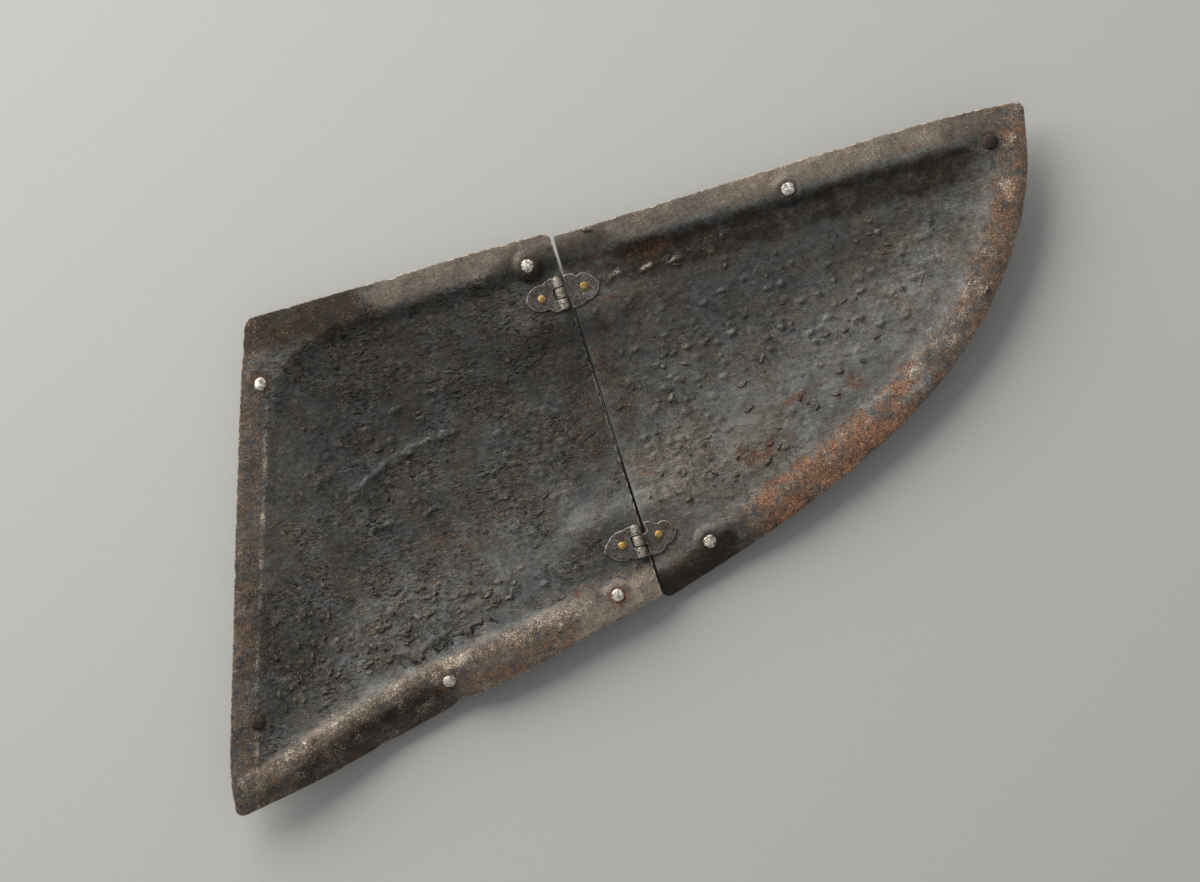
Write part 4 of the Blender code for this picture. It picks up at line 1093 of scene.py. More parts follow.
def makeLeaf(name):
    place, plate, _ = name.split("_")
    hingeY, rivet = hinges["places"][place]["y"], hinges["places"][place][plate]
    side = sideOf[plate]
    runs = [smoothLine(run, 0.5) if len(run) > 2 else np.array(run, float) for run in leaves[name]]
    loop = softened(evenLoop(np.vstack(runs), leafForm["outlineStep"]), 2)
    loop = loop * (side, 1)
    if loopArea(loop) < 0:
        loop = loop[::-1]
    seed = leafForm["seed"] + len(name) + side
    depth = leafForm["edgeWear"] * (0.5 + 0.5 * wander(len(loop), seed, (30, 11, 5)))
    free = smoothStep((np.abs(loop[:, 0]) - 5.5) / 2)
    loop = loop + inwardOf(loop) * (depth * free)[:, None]

    def upperFace(points):
        bumps = np.sin(points[:, 0] * 0.9 + 1.3 * side) * np.sin(points[:, 1] * 0.7 + hingeY) * 0.5
        bumps += np.sin(points[:, 0] * 1.9 + hingeY) * np.sin(points[:, 1] * 2.3) * 0.25
        return leafTop + leafForm["uneven"] * bumps * smoothStep((np.abs(points[:, 0]) - 3.5) / 3)

    hole = (side * rivet, 0.0, holeRadius["leaf"])
    mesh, *_ = sheetBody(name + "Sheet", loop, [hole], upperFace, leafForm)
    leaf = newObject(name + "Sheet", mesh)
    slotHalf = hinges["tongueHalf"] + hinges["tongueClearance"]
    spans = [(-hinges["tongueHalf"], hinges["tongueHalf"])]
    if plate == "broad":
        high, low = hinges["halfWidth"] - 0.05, -hinges["halfWidth"] + 0.05
        spans = [(low, -slotHalf), (slotHalf, high)]
    for number, (low, high) in enumerate(spans):
        tube = knuckle(f"{name}Knuckle{number}", low, high)
        tube.location = (0, 0, pinZ * mm)
        union = leaf.modifiers.new("union", "BOOLEAN")
        union.operation = "UNION"
        union.solver = "EXACT"
        union.object = tube
    joined = changedMesh(leaf)
    for obj in [leaf] + [o for o in bpy.data.objects if o.name.startswith(name + "Knuckle")]:
        bpy.data.objects.remove(obj)
    places = placesOf(joined) / mm
    onKnuckle = np.hypot(places[:, 0], places[:, 2] - pinZ) < hinges["barrel"] + 0.1
    onKnuckle &= places[:, 2] > leafTop + 0.15
    ends = np.min([np.abs(places[:, 1] - y) for span in spans for y in span], axis=0)
    storeFloat(joined, "fromEdge", np.where(onKnuckle, 4.0, distancesFrom(loop, places[:, :2])))
    storeFloat(joined, "knuckle", onKnuckle.astype(float))
    beside = (np.abs(places[:, 0]) < 5.2) & (np.abs(places[:, 1]) < hinges["halfWidth"] - 0.6)
    # painted shade: the leaf's underside beside the pin and the knuckles' ends are drawn black, as the shade
    # in the slots
    inSlot = beside & (places[:, 2] < leafTop - 0.15) | onKnuckle & (ends < 0.25)
    storeFloat(joined, "slot", inSlot.astype(float))
    places += (hinges["pinX"], hingeY, 0)
    joined.vertices.foreach_set("co", (places * mm).ravel())
    shadeSmooth(joined)
    joined.name = name
    joined.update()
    return newObject(plateName(name), joined)


def plateName(name):                         # upper_broad_leaf -> upperBroadLeaf
    first, *rest = name.split("_")
    return first + "".join(word.capitalize() for word in rest)


def makePin(place):                          # a drawn pin with both ends peened over a little
    hingeY = hinges["places"][place]["y"]
    radius, half = hinges["pinRadius"], hinges["halfWidth"] + 0.25
    profile = [(-half, 0.02), (-half, 0.9), (-half + 0.18, radius + 0.16), (-half + 0.3, radius + 0.1),
               (-half + 0.42, radius), (half - 0.42, radius), (half - 0.3, radius + 0.1),
               (half - 0.18, radius + 0.16), (half, 0.9), (half, 0.02)]
    bm = bmesh.new()
    chain = [bm.verts.new((r * mm, (hingeY + y) * mm, 0)) for y, r in profile]
    links = [bm.edges.new(pair) for pair in zip(chain, chain[1:])]
    bmesh.ops.spin(bm, geom=chain + links, cent=(0, 0, 0), axis=(0, 1, 0), angle=2 * math.pi, steps=24,
                   use_merge=True)
    bmesh.ops.remove_doubles(bm, verts=bm.verts, dist=0.00003)
    bmesh.ops.holes_fill(bm, edges=bm.edges, sides=30)
    bmesh.ops.translate(bm, vec=(hinges["pinX"] * mm, 0, pinZ * mm), verts=bm.verts)
    bmesh.ops.recalc_face_normals(bm, faces=bm.faces)
    mesh = bpy.data.meshes.new(place + "HingePin")
    bm.to_mesh(mesh)
    bm.free()
    shadeSmooth(mesh)
    storeFloat(mesh, "fromEdge", np.ones(len(mesh.vertices)))
    storeFloat(mesh, "knuckle", np.ones(len(mesh.vertices)))
    return newObject(place + "HingePin", mesh)


# Rivets, all from one tree: two beaten heads on a shank, stood on points that carry their lean
rivetKinds = {
    "white": {"headRadius": 4.15, "headRise": 1.75, "outerRadius": 4.6, "outerRise": 1.7, "shank": 1.8,
              "grip": 1.6, "seat": 0.35, "hammering": 1.45, "dentSize": 1.9, "seed": 3},
    "rusty": {"headRadius": 5.0, "headRise": 2.5, "outerRadius": 4.6, "outerRise": 1.7, "shank": 1.8,
              "grip": 1.6, "seat": 0.35, "hammering": 0.8, "dentSize": 2.6, "seed": 8},
    "brass": {"headRadius": 2.75, "headRise": 1.0, "outerRadius": 3.4, "outerRise": 1.15, "shank": 1.5,
              "grip": 3.1, "seat": 0.3, "hammering": 0.55, "dentSize": 1.5, "seed": 21},
}


def rivetTree():
    inputs = [("Float", name, float(value)) for name, value in rivetKinds["white"].items()]
    tree, w, given = startTree("beatenRivets", inputs)
    lengths = ("seat", "grip", "headRadius", "headRise", "outerRadius", "outerRise", "shank")
    size = {name: given[name] * mm for name in lengths}

    def head(radius, up, down, lift):        # a ball flattened differently above and below its middle
        ball = w.put("GeometryNodeMeshUVSphere", {"Segments": 30, "Rings": 16, "Radius": 1.0})
        place = w.parts(w.put("GeometryNodeInputPosition")[0])
        above = w.math("GREATER_THAN", place[2], 0.0)
        squash = w.put("ShaderNodeMix", {0: above, 2: down, 3: up}, data_type="FLOAT")[0]
        shaped = w.xyz(place[0] * radius, place[1] * radius, place[2] * squash + lift)
        return w.put("GeometryNodeSetPosition", {"Geometry": ball[0], "Position": shaped})[0]

    seat, grip = size["seat"], size["grip"]
    upper = head(size["headRadius"], size["headRise"], seat, seat)
    lower = head(size["outerRadius"], seat, size["outerRise"], grip * -1.0 - seat)
    shank = w.put("GeometryNodeMeshCylinder", {"Vertices": 16, "Radius": size["shank"], "Depth": grip})
    inputs = {"Geometry": shank[0], "Translation": w.xyz(0.0, 0.0, grip * -0.5)}
    shank = w.put("GeometryNodeTransform", inputs)
    whole = w.put("GeometryNodeJoinGeometry")
    for part in (lower, shank[0], upper):
        w.tree.links.new(part.socket, whole.node.inputs[0])
    stand = w.put("FunctionNodeAlignRotationToVector", {"Vector": w.stored("lean", "FLOAT_VECTOR")}, axis="Z")
    spin = w.put("FunctionNodeRandomValue", {2: 0.0, 3: 6.28, "Seed": given["seed"]}, data_type="FLOAT")[1]
    spin = w.put("FunctionNodeEulerToRotation", {0: w.xyz(0.0, 0.0, spin)})[0]
    spun = w.put("FunctionNodeRotateRotation", {0: stand[0], 1: spin}, rotation_space="LOCAL")
    placed = w.put("GeometryNodeInstanceOnPoints", {"Points": given["Geometry"], "Instance": whole[0],
                                                    "Rotation": spun[0]})
    real = w.put("GeometryNodeRealizeInstances", {0: placed[0]})
    place = w.vector("ADD", w.position(), w.xyz(given["seed"] * 9.0))
    perDent = 1.0 / given["dentSize"]
    dent = w.vector("SUBTRACT", w.noise(place, perDent, 3.0, 0.6, output=1), (0.5, 0.5, 0.52))
    broadDent = w.vector("SUBTRACT", w.noise(place, perDent * 0.4, 1.0, output=1), (0.5, 0.5, 0.5))
    dent = w.vector("ADD", dent, w.scaled(broadDent, 0.9))
    push = w.scaled(dent, given["hammering"] * mm)
    beaten = w.put("GeometryNodeSetPosition", {"Geometry": real[0], "Offset": push})
    smooth = w.put("GeometryNodeSetShadeSmooth", {"Geometry": beaten[0]})
    endTree(w, smooth[0], given["finish"])
    return tree


def makeRivets(name, kind, rows, tree, finish):   # rows: x, y, z and lean of each rivet, in millimetres
    mesh = bpy.data.meshes.new(name)
    mesh.from_pydata([tuple(c * mm for c in place) for place, lean in rows], [], [])
    leans = mesh.attributes.new("lean", "FLOAT_VECTOR", "POINT")
    leans.data.foreach_set("vector", np.array([lean for place, lean in rows], np.float32).ravel())
    obj = newObject(name, mesh)
    values = {key: float(value) for key, value in rivetKinds[kind].items()}
    return useTree(obj, tree, dict(values, finish=finish))


# Finishes
def startGroup(name, sizes, *outputs):
    tree = bpy.data.node_groups.new(name, "ShaderNodeTree")
    treeInputs(tree, [("Vector", "Vector", None)] + [("Float", *row) for row in sizes.items()])
    for output in outputs:
        kind = "Color" if output == "Colour" else "Float"
        tree.interface.new_socket(output, in_out="OUTPUT", socket_type="NodeSocket" + kind)
    w = Wires(tree)
    return tree, w, w.put("NodeGroupInput")


def pittedGrain():                           # fine pits and grain: a height and a tone around 1
    tree, w, given = startGroup("pittedGrain", {"Size": 1.0, "Contrast": 0.3}, "Height", "Tone")
    per = 1.0 / given["Size"]
    grain = w.noise(given["Vector"], per, 5.0, 0.65)
    coarse = w.noise(given["Vector"], per * 0.22, 4.0, 0.6)
    pits = w.cells(given["Vector"], per * 0.55)
    pit = w.span(pits["Distance"], 0.05, 0.34)
    chance = w.parts(pits["Color"])
    pit = w.most(pit, w.span(chance[0], 0.55, 0.35))
    height = grain * 0.6 + coarse * 0.9
    height = height + pit * 0.35
    swing = w.timesPlus(grain - 0.5, 1.35, (coarse - 0.5) * 0.6)
    swing = swing + (pit - 1.0) * 0.25
    tone = w.timesPlus(swing, given["Contrast"] * 4.0, 1.0)
    w.put("NodeGroupOutput", {"Height": height, "Tone": w.most(tone, 0.15)})
    return tree


def rustBloom():                             # grains of rust, thick or thin on the ground, streaked along X
    tree, w, given = startGroup("rustBloom", {"Size": 10.0, "Amount": 0.5}, "Mask", "Colour")
    per = 1.0 / given["Size"]
    streaked = w.streaked(given["Vector"], 0.6)
    cloud = w.noise(streaked, per, 4.0, 0.65)
    fleck = w.noise(streaked, per * 7.0, 4.0, 0.75)
    value = cloud * 0.5 + fleck * 0.5
    edge = w.timesPlus(given["Amount"], -0.24, 0.625)
    mask = w.span(value, edge, edge + 0.07)
    mask = mask * w.span(given["Amount"], 0.0, 0.12)
    shade = w.span(w.noise(given["Vector"], per * 9.0, 3.0, 0.7), 0.36, 0.66)
    colour = w.blend(shade, (0.056, 0.031, 0.021, 1), (0.205, 0.098, 0.056, 1))
    bright = w.span(w.noise(given["Vector"], per * 12.0, 2.0, 0.6), 0.6, 0.7)
    colour = w.blend(bright * 0.8, colour, (0.44, 0.24, 0.11, 1))
    w.put("NodeGroupOutput", {"Mask": mask, "Colour": colour})
    return tree


def paleSpecks():                            # small light specks and smears, in loose clusters
    tree, w, given = startGroup("paleSpecks", {"Size": 1.2, "Share": 0.2}, "Mask")
    per = 1.0 / given["Size"]
    warp = w.scaled(w.noise(given["Vector"], per * 0.6, 3.0, output=1), 3.0)
    fine = w.noise(w.vector("ADD", given["Vector"], warp), per * 1.15, 4.0, 0.8)
    cluster = w.noise(given["Vector"], per * 0.075, 4.0, 0.62)
    value = fine + (cluster - 0.5) * 0.42
    edge = w.timesPlus(given["Share"], -0.215, 0.735)
    mask = w.span(value, edge, edge + 0.045) * w.span(given["Share"], 0.0, 0.06)
    w.put("NodeGroupOutput", {"Mask": mask})
    return tree


def brokenMask():                            # a soft mask given a ragged edge
    tree, w, given = startGroup("brokenMask", {"Level": 0.5, "Size": 6.0}, "Mask")
    per = 1.0 / given["Size"]
    uneven = w.noise(given["Vector"], per, 5.0, 0.68)
    value = given["Level"] + (uneven - 0.5) * 1.5
    shaped = w.span(value, 0.12, 0.8) * w.span(given["Level"], 0.0, 0.12)
    w.put("NodeGroupOutput", {"Mask": shaped})
    return tree


def scaleCrust():                            # thin crusts with broken edges: a height, the edge's shadow
    tree, w, given = startGroup("scaleCrust", {"Size": 8.0, "Cover": 0.5}, "Height", "Edge")
    per = 1.0 / given["Size"]
    warp = w.scaled(w.noise(given["Vector"], per * 2.5, 3.0, output=1), 2.5)
    place = w.vector("ADD", given["Vector"], warp)
    cloud = w.noise(place, per, 5.0, 0.66)
    small = w.noise(place, per * 3.1, 3.0, 0.6)
    limit = w.timesPlus(given["Cover"], -0.16, 0.64)
    first = w.span(cloud, limit, limit + 0.022)
    second = w.span(small, limit + 0.035, limit + 0.065)
    low = w.vector("ADD", place, (0.55, -0.75, 0.0))
    ahead = w.span(w.noise(low, per, 5.0, 0.66), limit, limit + 0.022)
    aheadSmall = w.span(w.noise(low, per * 3.1, 3.0, 0.6), limit + 0.035, limit + 0.065)
    # painted shadow: the crust seen a little further on, less the crust here, gives a line on one side of
    # each edge
    edge = w.most(aheadSmall - second, ahead - first)
    height = w.most(first * 0.55, second)
    w.put("NodeGroupOutput", {"Height": height, "Edge": w.most(edge, 0.0)})
    return tree


def wornEdge():                              # a rubbed line along an edge, broken here and there
    tree, w, given = startGroup("wornEdge", {"Distance": 1.0, "Width": 0.6, "Wear": 0.6}, "Mask")
    uneven = w.noise(given["Vector"], 2.2, 3.0, 0.6)
    width = given["Width"] * w.timesPlus(uneven, 1.8, 0.1)
    near = w.span(given["Distance"] / width, 1.1, 0.55)
    broken = w.span(w.noise(given["Vector"], 3.5, 3.0, 0.65) + (given["Wear"] - 0.5), 0.38, 0.52)
    w.put("NodeGroupOutput", {"Mask": near * broken})
    return tree


groups = {}


def useGroup(w, name, inputs):
    return w.put("ShaderNodeGroup", inputs, node_tree=groups[name])


def startFinish(name):
    material = bpy.data.materials.new(name)
    material.use_nodes = True
    w = Wires(material.node_tree)
    shader = material.node_tree.nodes["Principled BSDF"]
    place = w.scaled(w.put("ShaderNodeTexCoord")["Object"], 1000.0)
    return material, w, shader, place


def readMask(w, name):
    return w.put("ShaderNodeAttribute", attribute_name=name, attribute_type="GEOMETRY")["Fac"]


def bump(w, shader, height, distance, strength=1.0):
    inputs = {"Strength": strength, "Distance": distance * mm, "Height": height}
    w.feed(shader, "Normal", w.put("ShaderNodeBump", inputs)[0])


def startMetal(name, look, first, second):   # two colours in clouds, under grain
    material, w, shader, place = startFinish(name)
    size, contrast = look["grain"]
    grain = useGroup(w, "pittedGrain", {"Vector": place, "Size": size, "Contrast": contrast})
    cloud = w.noise(place, *look["cloud"])
    colour = w.blend(w.span(cloud, *look["cloudSpan"]), look[first], look[second])
    return material, w, shader, place, grain, cloud, colour


def endMetal(w, shader, look, colour, roughness, height):
    w.feed(shader, "Base Color", colour)
    w.feed(shader, "Roughness", roughness)
    shader.inputs["Metallic"].default_value = look["metallic"]
    bump(w, shader, height, look["relief"])


def rusted(w, place, colour, look):
    size, amount = look["rust"]
    bloom = useGroup(w, "rustBloom", {"Vector": place, "Size": size, "Amount": amount})
    return w.blend(bloom["Mask"] * 0.6, colour, bloom["Colour"])


# A finish's rows: grain is its size and contrast; cloud is noise by size, detail and roughness;
# the longer rows are noise with the span of it that counts, and what that span becomes.
plateIron = {                                # colours are linear
    "coolGrey": (0.086, 0.088, 0.085, 1),
    "warmGrey": (0.086, 0.077, 0.064, 1),
    "brown": (0.062, 0.041, 0.025, 1),
    "redBrown": (0.096, 0.059, 0.037, 1),
    "blueBlack": (0.034, 0.038, 0.043, 1),
    "rubbed": (0.156, 0.129, 0.104, 1),
    "rubbedDark": (0.108, 0.088, 0.070, 1),
    # soot: dark soot-brown, used as painted shade under the steps and on turned-down edges, and for the dark
    # grit
    "soot": (0.026, 0.017, 0.010, 1),
    # deep: near black for cracks and for painted shade: crust edges' shadows, troughs, the loose scales' feet
    # and the seam's walls
    "deep": (0.006, 0.005, 0.005, 1),
    "speck": (0.70, 0.57, 0.44, 1),
    "orange": (0.40, 0.25, 0.125, 1),
    "bluePale": (0.150, 0.160, 0.168, 1),
    # tan: the crust's colour, also a painted highlight on the tops of raised scale
    "tan": (0.205, 0.155, 0.110, 1),
    "metallic": 0.25,
    "specular": 0.34,
    "grain": (0.85, 0.42),
    "cloud": (30.0, 5.0, 0.62), "cloudSpan": (0.40, 0.62),
    "streaks": (3.2, 5.0, 0.7, 0.25, 0.75, 0.72, 1.28),
    "drifts": (24.0, 4.0, 0.62, 0.33, 0.67, 0.78, 1.22),
    "coarsening": (36.0, 3.0, 0.6, 0.4, 0.58, 0.4, 1.35),
    "rubbedGrain": (1.2, 5.0, 0.78, 0.38, 0.62),
    "rubbedDrift": (14.0, 3.0, 0.6, 0.35, 0.65, 0.82, 1.12),
    "redder": (6.0, 5.0, 0.7, 0.42, 0.64),
    "bluer": (4.5, 4.0, 0.72, 0.50, 0.58),
    "brownGrain": (1.3, 4.0, 0.75, 0.35, 0.65, 0.65, 1.45),
    "palePatches": (7.0, 5.0, 0.7, 0.36, 0.6),
    "thinCover": (15.0, 3.0, 0.6, 0.35, 0.62, -0.2, 0.7),
    "rustPatches": (13.0, 4.0, 0.62, 0.38, 0.60, 0.42, 1.08),
    "drawnWhere": (22.0, 3.0, 0.6, 0.46, 0.66),
    "grit": (1.5, 4.0, 0.72, 0.52, 0.62),
    "flecks": (1.1, 3.0, 0.7, 0.585, 0.655),
    "drawnRust": (1.7, 3.0, 0.6, 0.58, 0.65),
    "size": {"rubbed": 7.0, "brown": 9.0, "soot": 8.0, "crust": 8.0, "thin": 2.7, "rust": 11.0,
             "specks": 0.85, "worn": 0.7},
    "share": {"brown": 0.85, "soot": 0.85, "pale": 0.45, "rust": 0.8, "drawnRust": 0.6, "grit": 0.75,
              "flecks": 0.8, "specks": 0.8, "underside": 0.6, "seamWall": 0.95, "crustEdgeShadow": 0.75,
              "foot": 0.75},
    "rise": {"grain": 0.55, "specks": 0.1, "rust": 0.15, "dashes": 0.28, "crust": 1.0, "thin": 0.75},
    "relief": 0.38,
}


def plateFinish(name):
    look = plateIron
    material, w, shader, place, grain, cloud, colour = startMetal(name, look, "coolGrey", "warmGrey")
    masks = {key: readMask(w, key)
             for key in ("rise", "flaky", "blistered", "rusty", "brown", "pale", "rubbed",
                         "soot", "specks", "worn", "torn", "underside", "tone", "foot",
                         "seamWall", "coarse", "lip")}
    size, share, rise = look["size"], look["share"], look["rise"]
    ragged = {key: useGroup(w, "brokenMask", {"Vector": place, "Level": masks[key], "Size": size[key]})[0]
              for key in ("rubbed", "brown", "soot")}
    colour = w.tint(colour, w.patchy(w.streaked(place, 0.14), look["streaks"], "LINEAR"))
    colour = w.tint(colour, w.patchy(place, look["drifts"], "LINEAR"))
    dashes = w.noise(w.streaked(place, 0.36), 1.5, 4.0, 0.72)
    raised = w.span(dashes, 0.575, 0.625) - w.span(dashes, 0.435, 0.385) * 0.9
    coarse = masks["coarse"] * w.patchy(place, look["coarsening"])
    dashes = w.timesPlus(dashes - 0.5, 2.0, raised * 0.55) * coarse
    colour = w.tint(colour, dashes + 1.0)
    colour = w.tint(colour, masks["tone"])

    # borders: rubbed grey and brown; the soot colour is partly dark scale on the flanges and partly painted
    # shade under the top steps and on the turned-down lower edges
    rubbed = ragged["rubbed"]
    rubbedTone = w.blend(w.patchy(place, look["rubbedGrain"]), look["rubbedDark"], look["rubbed"])
    rubbedTone = w.tint(rubbedTone, w.patchy(place, look["rubbedDrift"]))
    colour = w.blend(rubbed, colour, rubbedTone)
    brown = ragged["brown"]
    brownTone = w.blend(w.patchy(place, look["redder"]), look["brown"], look["redBrown"])
    brownTone = w.blend(w.patchy(place, look["bluer"]), brownTone, look["blueBlack"])
    brownTone = w.tint(brownTone, w.patchy(place, look["brownGrain"]))
    colour = w.blend(brown * share["brown"], colour, brownTone)
    # painted shade under the steps and on the turned-down edges, with real dark scale on the flanges
    colour = w.blend(ragged["soot"] * share["soot"], colour, look["soot"])
    lightPatch = masks["pale"] * w.patchy(place, look["palePatches"])
    colour = w.blend(lightPatch * share["pale"], colour, look["bluePale"])

    # scale: brown tint on what stands up, partly the crust's colour and partly painted highlight; near black
    # for cracks, painted shadow on one side of the crusts' edges and painted shade round the loose scales'
    # feet
    crustCover = w.most(masks["flaky"], masks["blistered"] * 0.75)
    inputs = {"Vector": place, "Size": size["crust"], "Cover": w.timesPlus(crustCover, 0.8, -0.25)}
    crust = useGroup(w, "scaleCrust", inputs)
    shown = w.span(crustCover, 0.05, 0.50)
    thinCover = w.patchy(place, look["thinCover"])
    inputs = {"Vector": w.streaked(place, 0.42), "Size": size["thin"], "Cover": thinCover}
    thin = useGroup(w, "scaleCrust", inputs)
    thinShown = w.timesPlus(rubbed, -0.75, 1.0) * coarse
    # raised thin crust drawn lighter: partly its colour, partly painted highlight
    colour = w.tint(colour, w.timesPlus(thin["Height"] * thinShown, 0.55, 1.0))
    # painted shadow along one side of the thin crusts' edges
    colour = w.tint(colour, w.timesPlus(thin["Edge"] * thinShown, -0.65, 1.0))
    # painted highlight, partly the crust's own tan, on what stands up
    high = w.most(w.span(masks["rise"], 0.15, 0.55), crust["Height"] * 0.5)
    colour = w.blend(high * w.timesPlus(masks["flaky"], 0.42, 0.02), colour, look["tan"])
    # painted shadow along one side of the crusts' edges
    dark = crust["Edge"] * shown * share["crustEdgeShadow"]
    # cracks, and painted shade in the troughs beside the raised creases
    dark = w.most(dark, w.span(masks["torn"] + (w.noise(place, 1.6, 3.0, 0.6) - 0.5) * 0.6, 0.34, 0.58))
    # painted shade round the feet of the loose scales
    dark = w.most(dark, masks["foot"] * share["foot"])
    # near black: real cracks, and painted shadow and shade
    colour = w.blend(dark, colour, look["deep"])

    # rust in grains, drawn out in lines, and as grit and flecks
    inputs = {"Vector": place, "Size": size["rust"],
              "Amount": masks["rusty"] * w.patchy(place, look["rustPatches"])}
    bloom = useGroup(w, "rustBloom", inputs)
    colour = w.blend(bloom["Mask"] * share["rust"], colour, bloom["Colour"])
    where = w.patchy(place, look["drawnWhere"]) * masks["tone"]
    drawn = w.patchy(w.streaked(place, 0.09), look["drawnRust"]) * where
    colour = w.blend(drawn * share["drawnRust"], colour, bloom["Colour"])
    grit = w.patchy(place, look["grit"]) * w.span(masks["rusty"], 0.3, 0.8)
    colour = w.blend(grit * share["grit"], colour, look["soot"])
    clusters = w.timesPlus(brown, 0.02, w.noise(place, 10.0, 3.0, 0.6))
    fleck = w.patchy(place, look["flecks"]) * w.span(clusters, 0.5, 0.6)
    colour = w.blend(fleck * share["flecks"], colour, look["orange"])

    # pale specks, thickest on the ridges
    inputs = {"Vector": place, "Size": size["specks"], "Share": masks["specks"] + 0.1}
    specks = useGroup(w, "paleSpecks", inputs)
    colour = w.blend(specks["Mask"] * share["specks"], colour, look["speck"])
    colour = w.tint(colour, masks["worn"] + 1.0)
    inputs = {"Vector": place, "Distance": readMask(w, "fromEdge"), "Width": size["worn"], "Wear": 0.45}
    worn = useGroup(w, "wornEdge", inputs)
    # pale edge line: wear, and on the seam lip also painted highlight
    wornShare = w.most(w.timesPlus(rubbed, 0.45, 0.35), masks["lip"] * 0.6)
    colour = w.blend(worn["Mask"] * wornShare, colour, look["speck"])
    colour = w.blend(masks["underside"] * share["underside"], colour, look["brown"])
    colour = w.tint(colour, grain["Tone"])
    # painted shade on the seam's walls
    colour = w.blend(masks["seamWall"] * share["seamWall"], colour, look["deep"])
    rough = w.timesPlus(cloud - 0.5, 0.35, 0.49) + bloom["Mask"] * 0.2
    rough = w.math("ADD", rough, brown * 0.12, clamp=True)
    shader.inputs["Specular IOR Level"].default_value = look["specular"]
    height = grain["Height"] * rise["grain"] + specks["Mask"] * rise["specks"] + bloom["Mask"] * rise["rust"]
    height = height + dashes * rise["dashes"] + crust["Height"] * shown * rise["crust"]
    height = height + thin["Height"] * thinShown * rise["thin"]
    endMetal(w, shader, look, colour, rough, height)
    return material


hingeSteel = {
    "slate": (0.135, 0.135, 0.132, 1),
    "brown": (0.105, 0.084, 0.066, 1),
    "dark": (0.036, 0.031, 0.027, 1),
    "black": (0.004, 0.003, 0.003, 1),
    "knuckle": (0.66, 0.59, 0.49, 1),
    "bright": (0.50, 0.45, 0.38, 1),
    "metallic": 0.55,
    "grain": (0.8, 0.40),
    "cloud": (7.0, 4.0, 0.6), "cloudSpan": (0.42, 0.60),
    "pits": (1.7, 4.0, 0.75, 0.49, 0.57),
    "smears": (2.2, 4.0, 0.65, 0.45, 0.66),
    "rubbed": (1.6, 4.0, 0.7, 0.34, 0.58),
    "rust": (5.0, 0.42),
    "relief": 0.2,
}


def hingeFinish():
    look = hingeSteel
    material, w, shader, place, grain, cloud, colour = startMetal("hingeSteel", look, "slate", "brown")
    knuckle = readMask(w, "knuckle")
    colour = w.blend(w.patchy(place, look["pits"]) * 0.7, colour, look["dark"])
    smears = w.patchy(w.vector("MULTIPLY", place, (1.0, 0.5, 1.0)), look["smears"])
    colour = w.blend(smears * 0.66, colour, look["dark"])
    colour = w.blend(knuckle * w.patchy(place, look["rubbed"]) * 0.85, colour, look["knuckle"])
    colour = rusted(w, place, colour, look)
    worn = useGroup(w, "wornEdge",
                    {"Vector": place, "Distance": readMask(w, "fromEdge"), "Width": 0.62, "Wear": 0.50})
    specks = useGroup(w, "paleSpecks",
                      {"Vector": place, "Size": 0.85, "Share": w.timesPlus(knuckle, -0.1, 0.9)})
    bare = w.most(worn["Mask"], specks["Mask"] * 0.55)
    colour = w.blend(bare * 0.85, colour, look["bright"])
    # painted shade in the slots between leaf and knuckles
    colour = w.blend(readMask(w, "slot"), w.tint(colour, grain["Tone"]), look["black"])
    roughness = w.timesPlus(bare, -0.15, w.timesPlus(cloud, 0.25, 0.36))
    endMetal(w, shader, look, colour, roughness, grain["Height"] + bare * 0.12)
    return material


brass = {
    "gold": (0.44, 0.27, 0.080, 1),
    "palest": (0.60, 0.43, 0.18, 1),
    "tarnish": (0.14, 0.085, 0.030, 1),
    "metallic": 0.75,
    "grain": (0.55, 0.22),
    "cloud": (1.9, 4.0, 0.6), "cloudSpan": (0.42, 0.66),
    "dull": (1.2, 4.0, 0.7, 0.52, 0.64),
    "relief": 0.22,
}


def brassFinish():
    look = brass
    material, w, shader, place, grain, cloud, colour = startMetal("brass", look, "gold", "palest")
    dull = w.patchy(place, look["dull"])
    colour = w.tint(w.blend(dull * 0.75, colour, look["tarnish"]), grain["Tone"])
    endMetal(w, shader, look, colour, w.timesPlus(dull, 0.22, 0.44), grain["Height"] - dull * 0.3)
    return material


whiteMetal = {
    "silver": (0.88, 0.83, 0.74, 1),
    "grey": (0.44, 0.39, 0.32, 1),
    "pit": (0.035, 0.028, 0.020, 1),
    "metallic": 0.30,
    "grain": (0.7, 0.16),
    "cloud": (2.4, 4.0, 0.6), "cloudSpan": (0.45, 0.62),
    "crackSize": 2.6, "crackWidth": (0.085, 0.02),
    "cracked": (3.0, 2.0, 0.55, 0.42, 0.58),
    "relief": 0.3,
}


def whiteFinish():
    look = whiteMetal
    material, w, shader, place, grain, cloud, colour = startMetal("whiteMetal", look, "silver", "grey")
    warped = w.vector("ADD", place, w.scaled(w.noise(place, 1.6, 3.0, output=1), 1.6))
    cracks = w.cells(warped, look["crackSize"], feature="DISTANCE_TO_EDGE")
    crack = w.span(cracks["Distance"], *look["crackWidth"]) * w.patchy(place, look["cracked"])
    colour = w.tint(w.blend(crack * 0.9, colour, look["pit"]), grain["Tone"])
    endMetal(w, shader, look, colour, w.timesPlus(cloud, 0.3, 0.3), grain["Height"] - crack * 0.8)
    return material


rustyIron = {
    "dark": (0.016, 0.012, 0.009, 1),
    "brown": (0.060, 0.042, 0.030, 1),
    "yellow": (0.42, 0.31, 0.17, 1),
    "metallic": 0.1,
    "grain": (0.9, 0.35),
    "cloud": (2.8, 4.0, 0.65), "cloudSpan": (0.40, 0.60),
    "rust": (3.5, 0.45),
    "relief": 0.45,
}


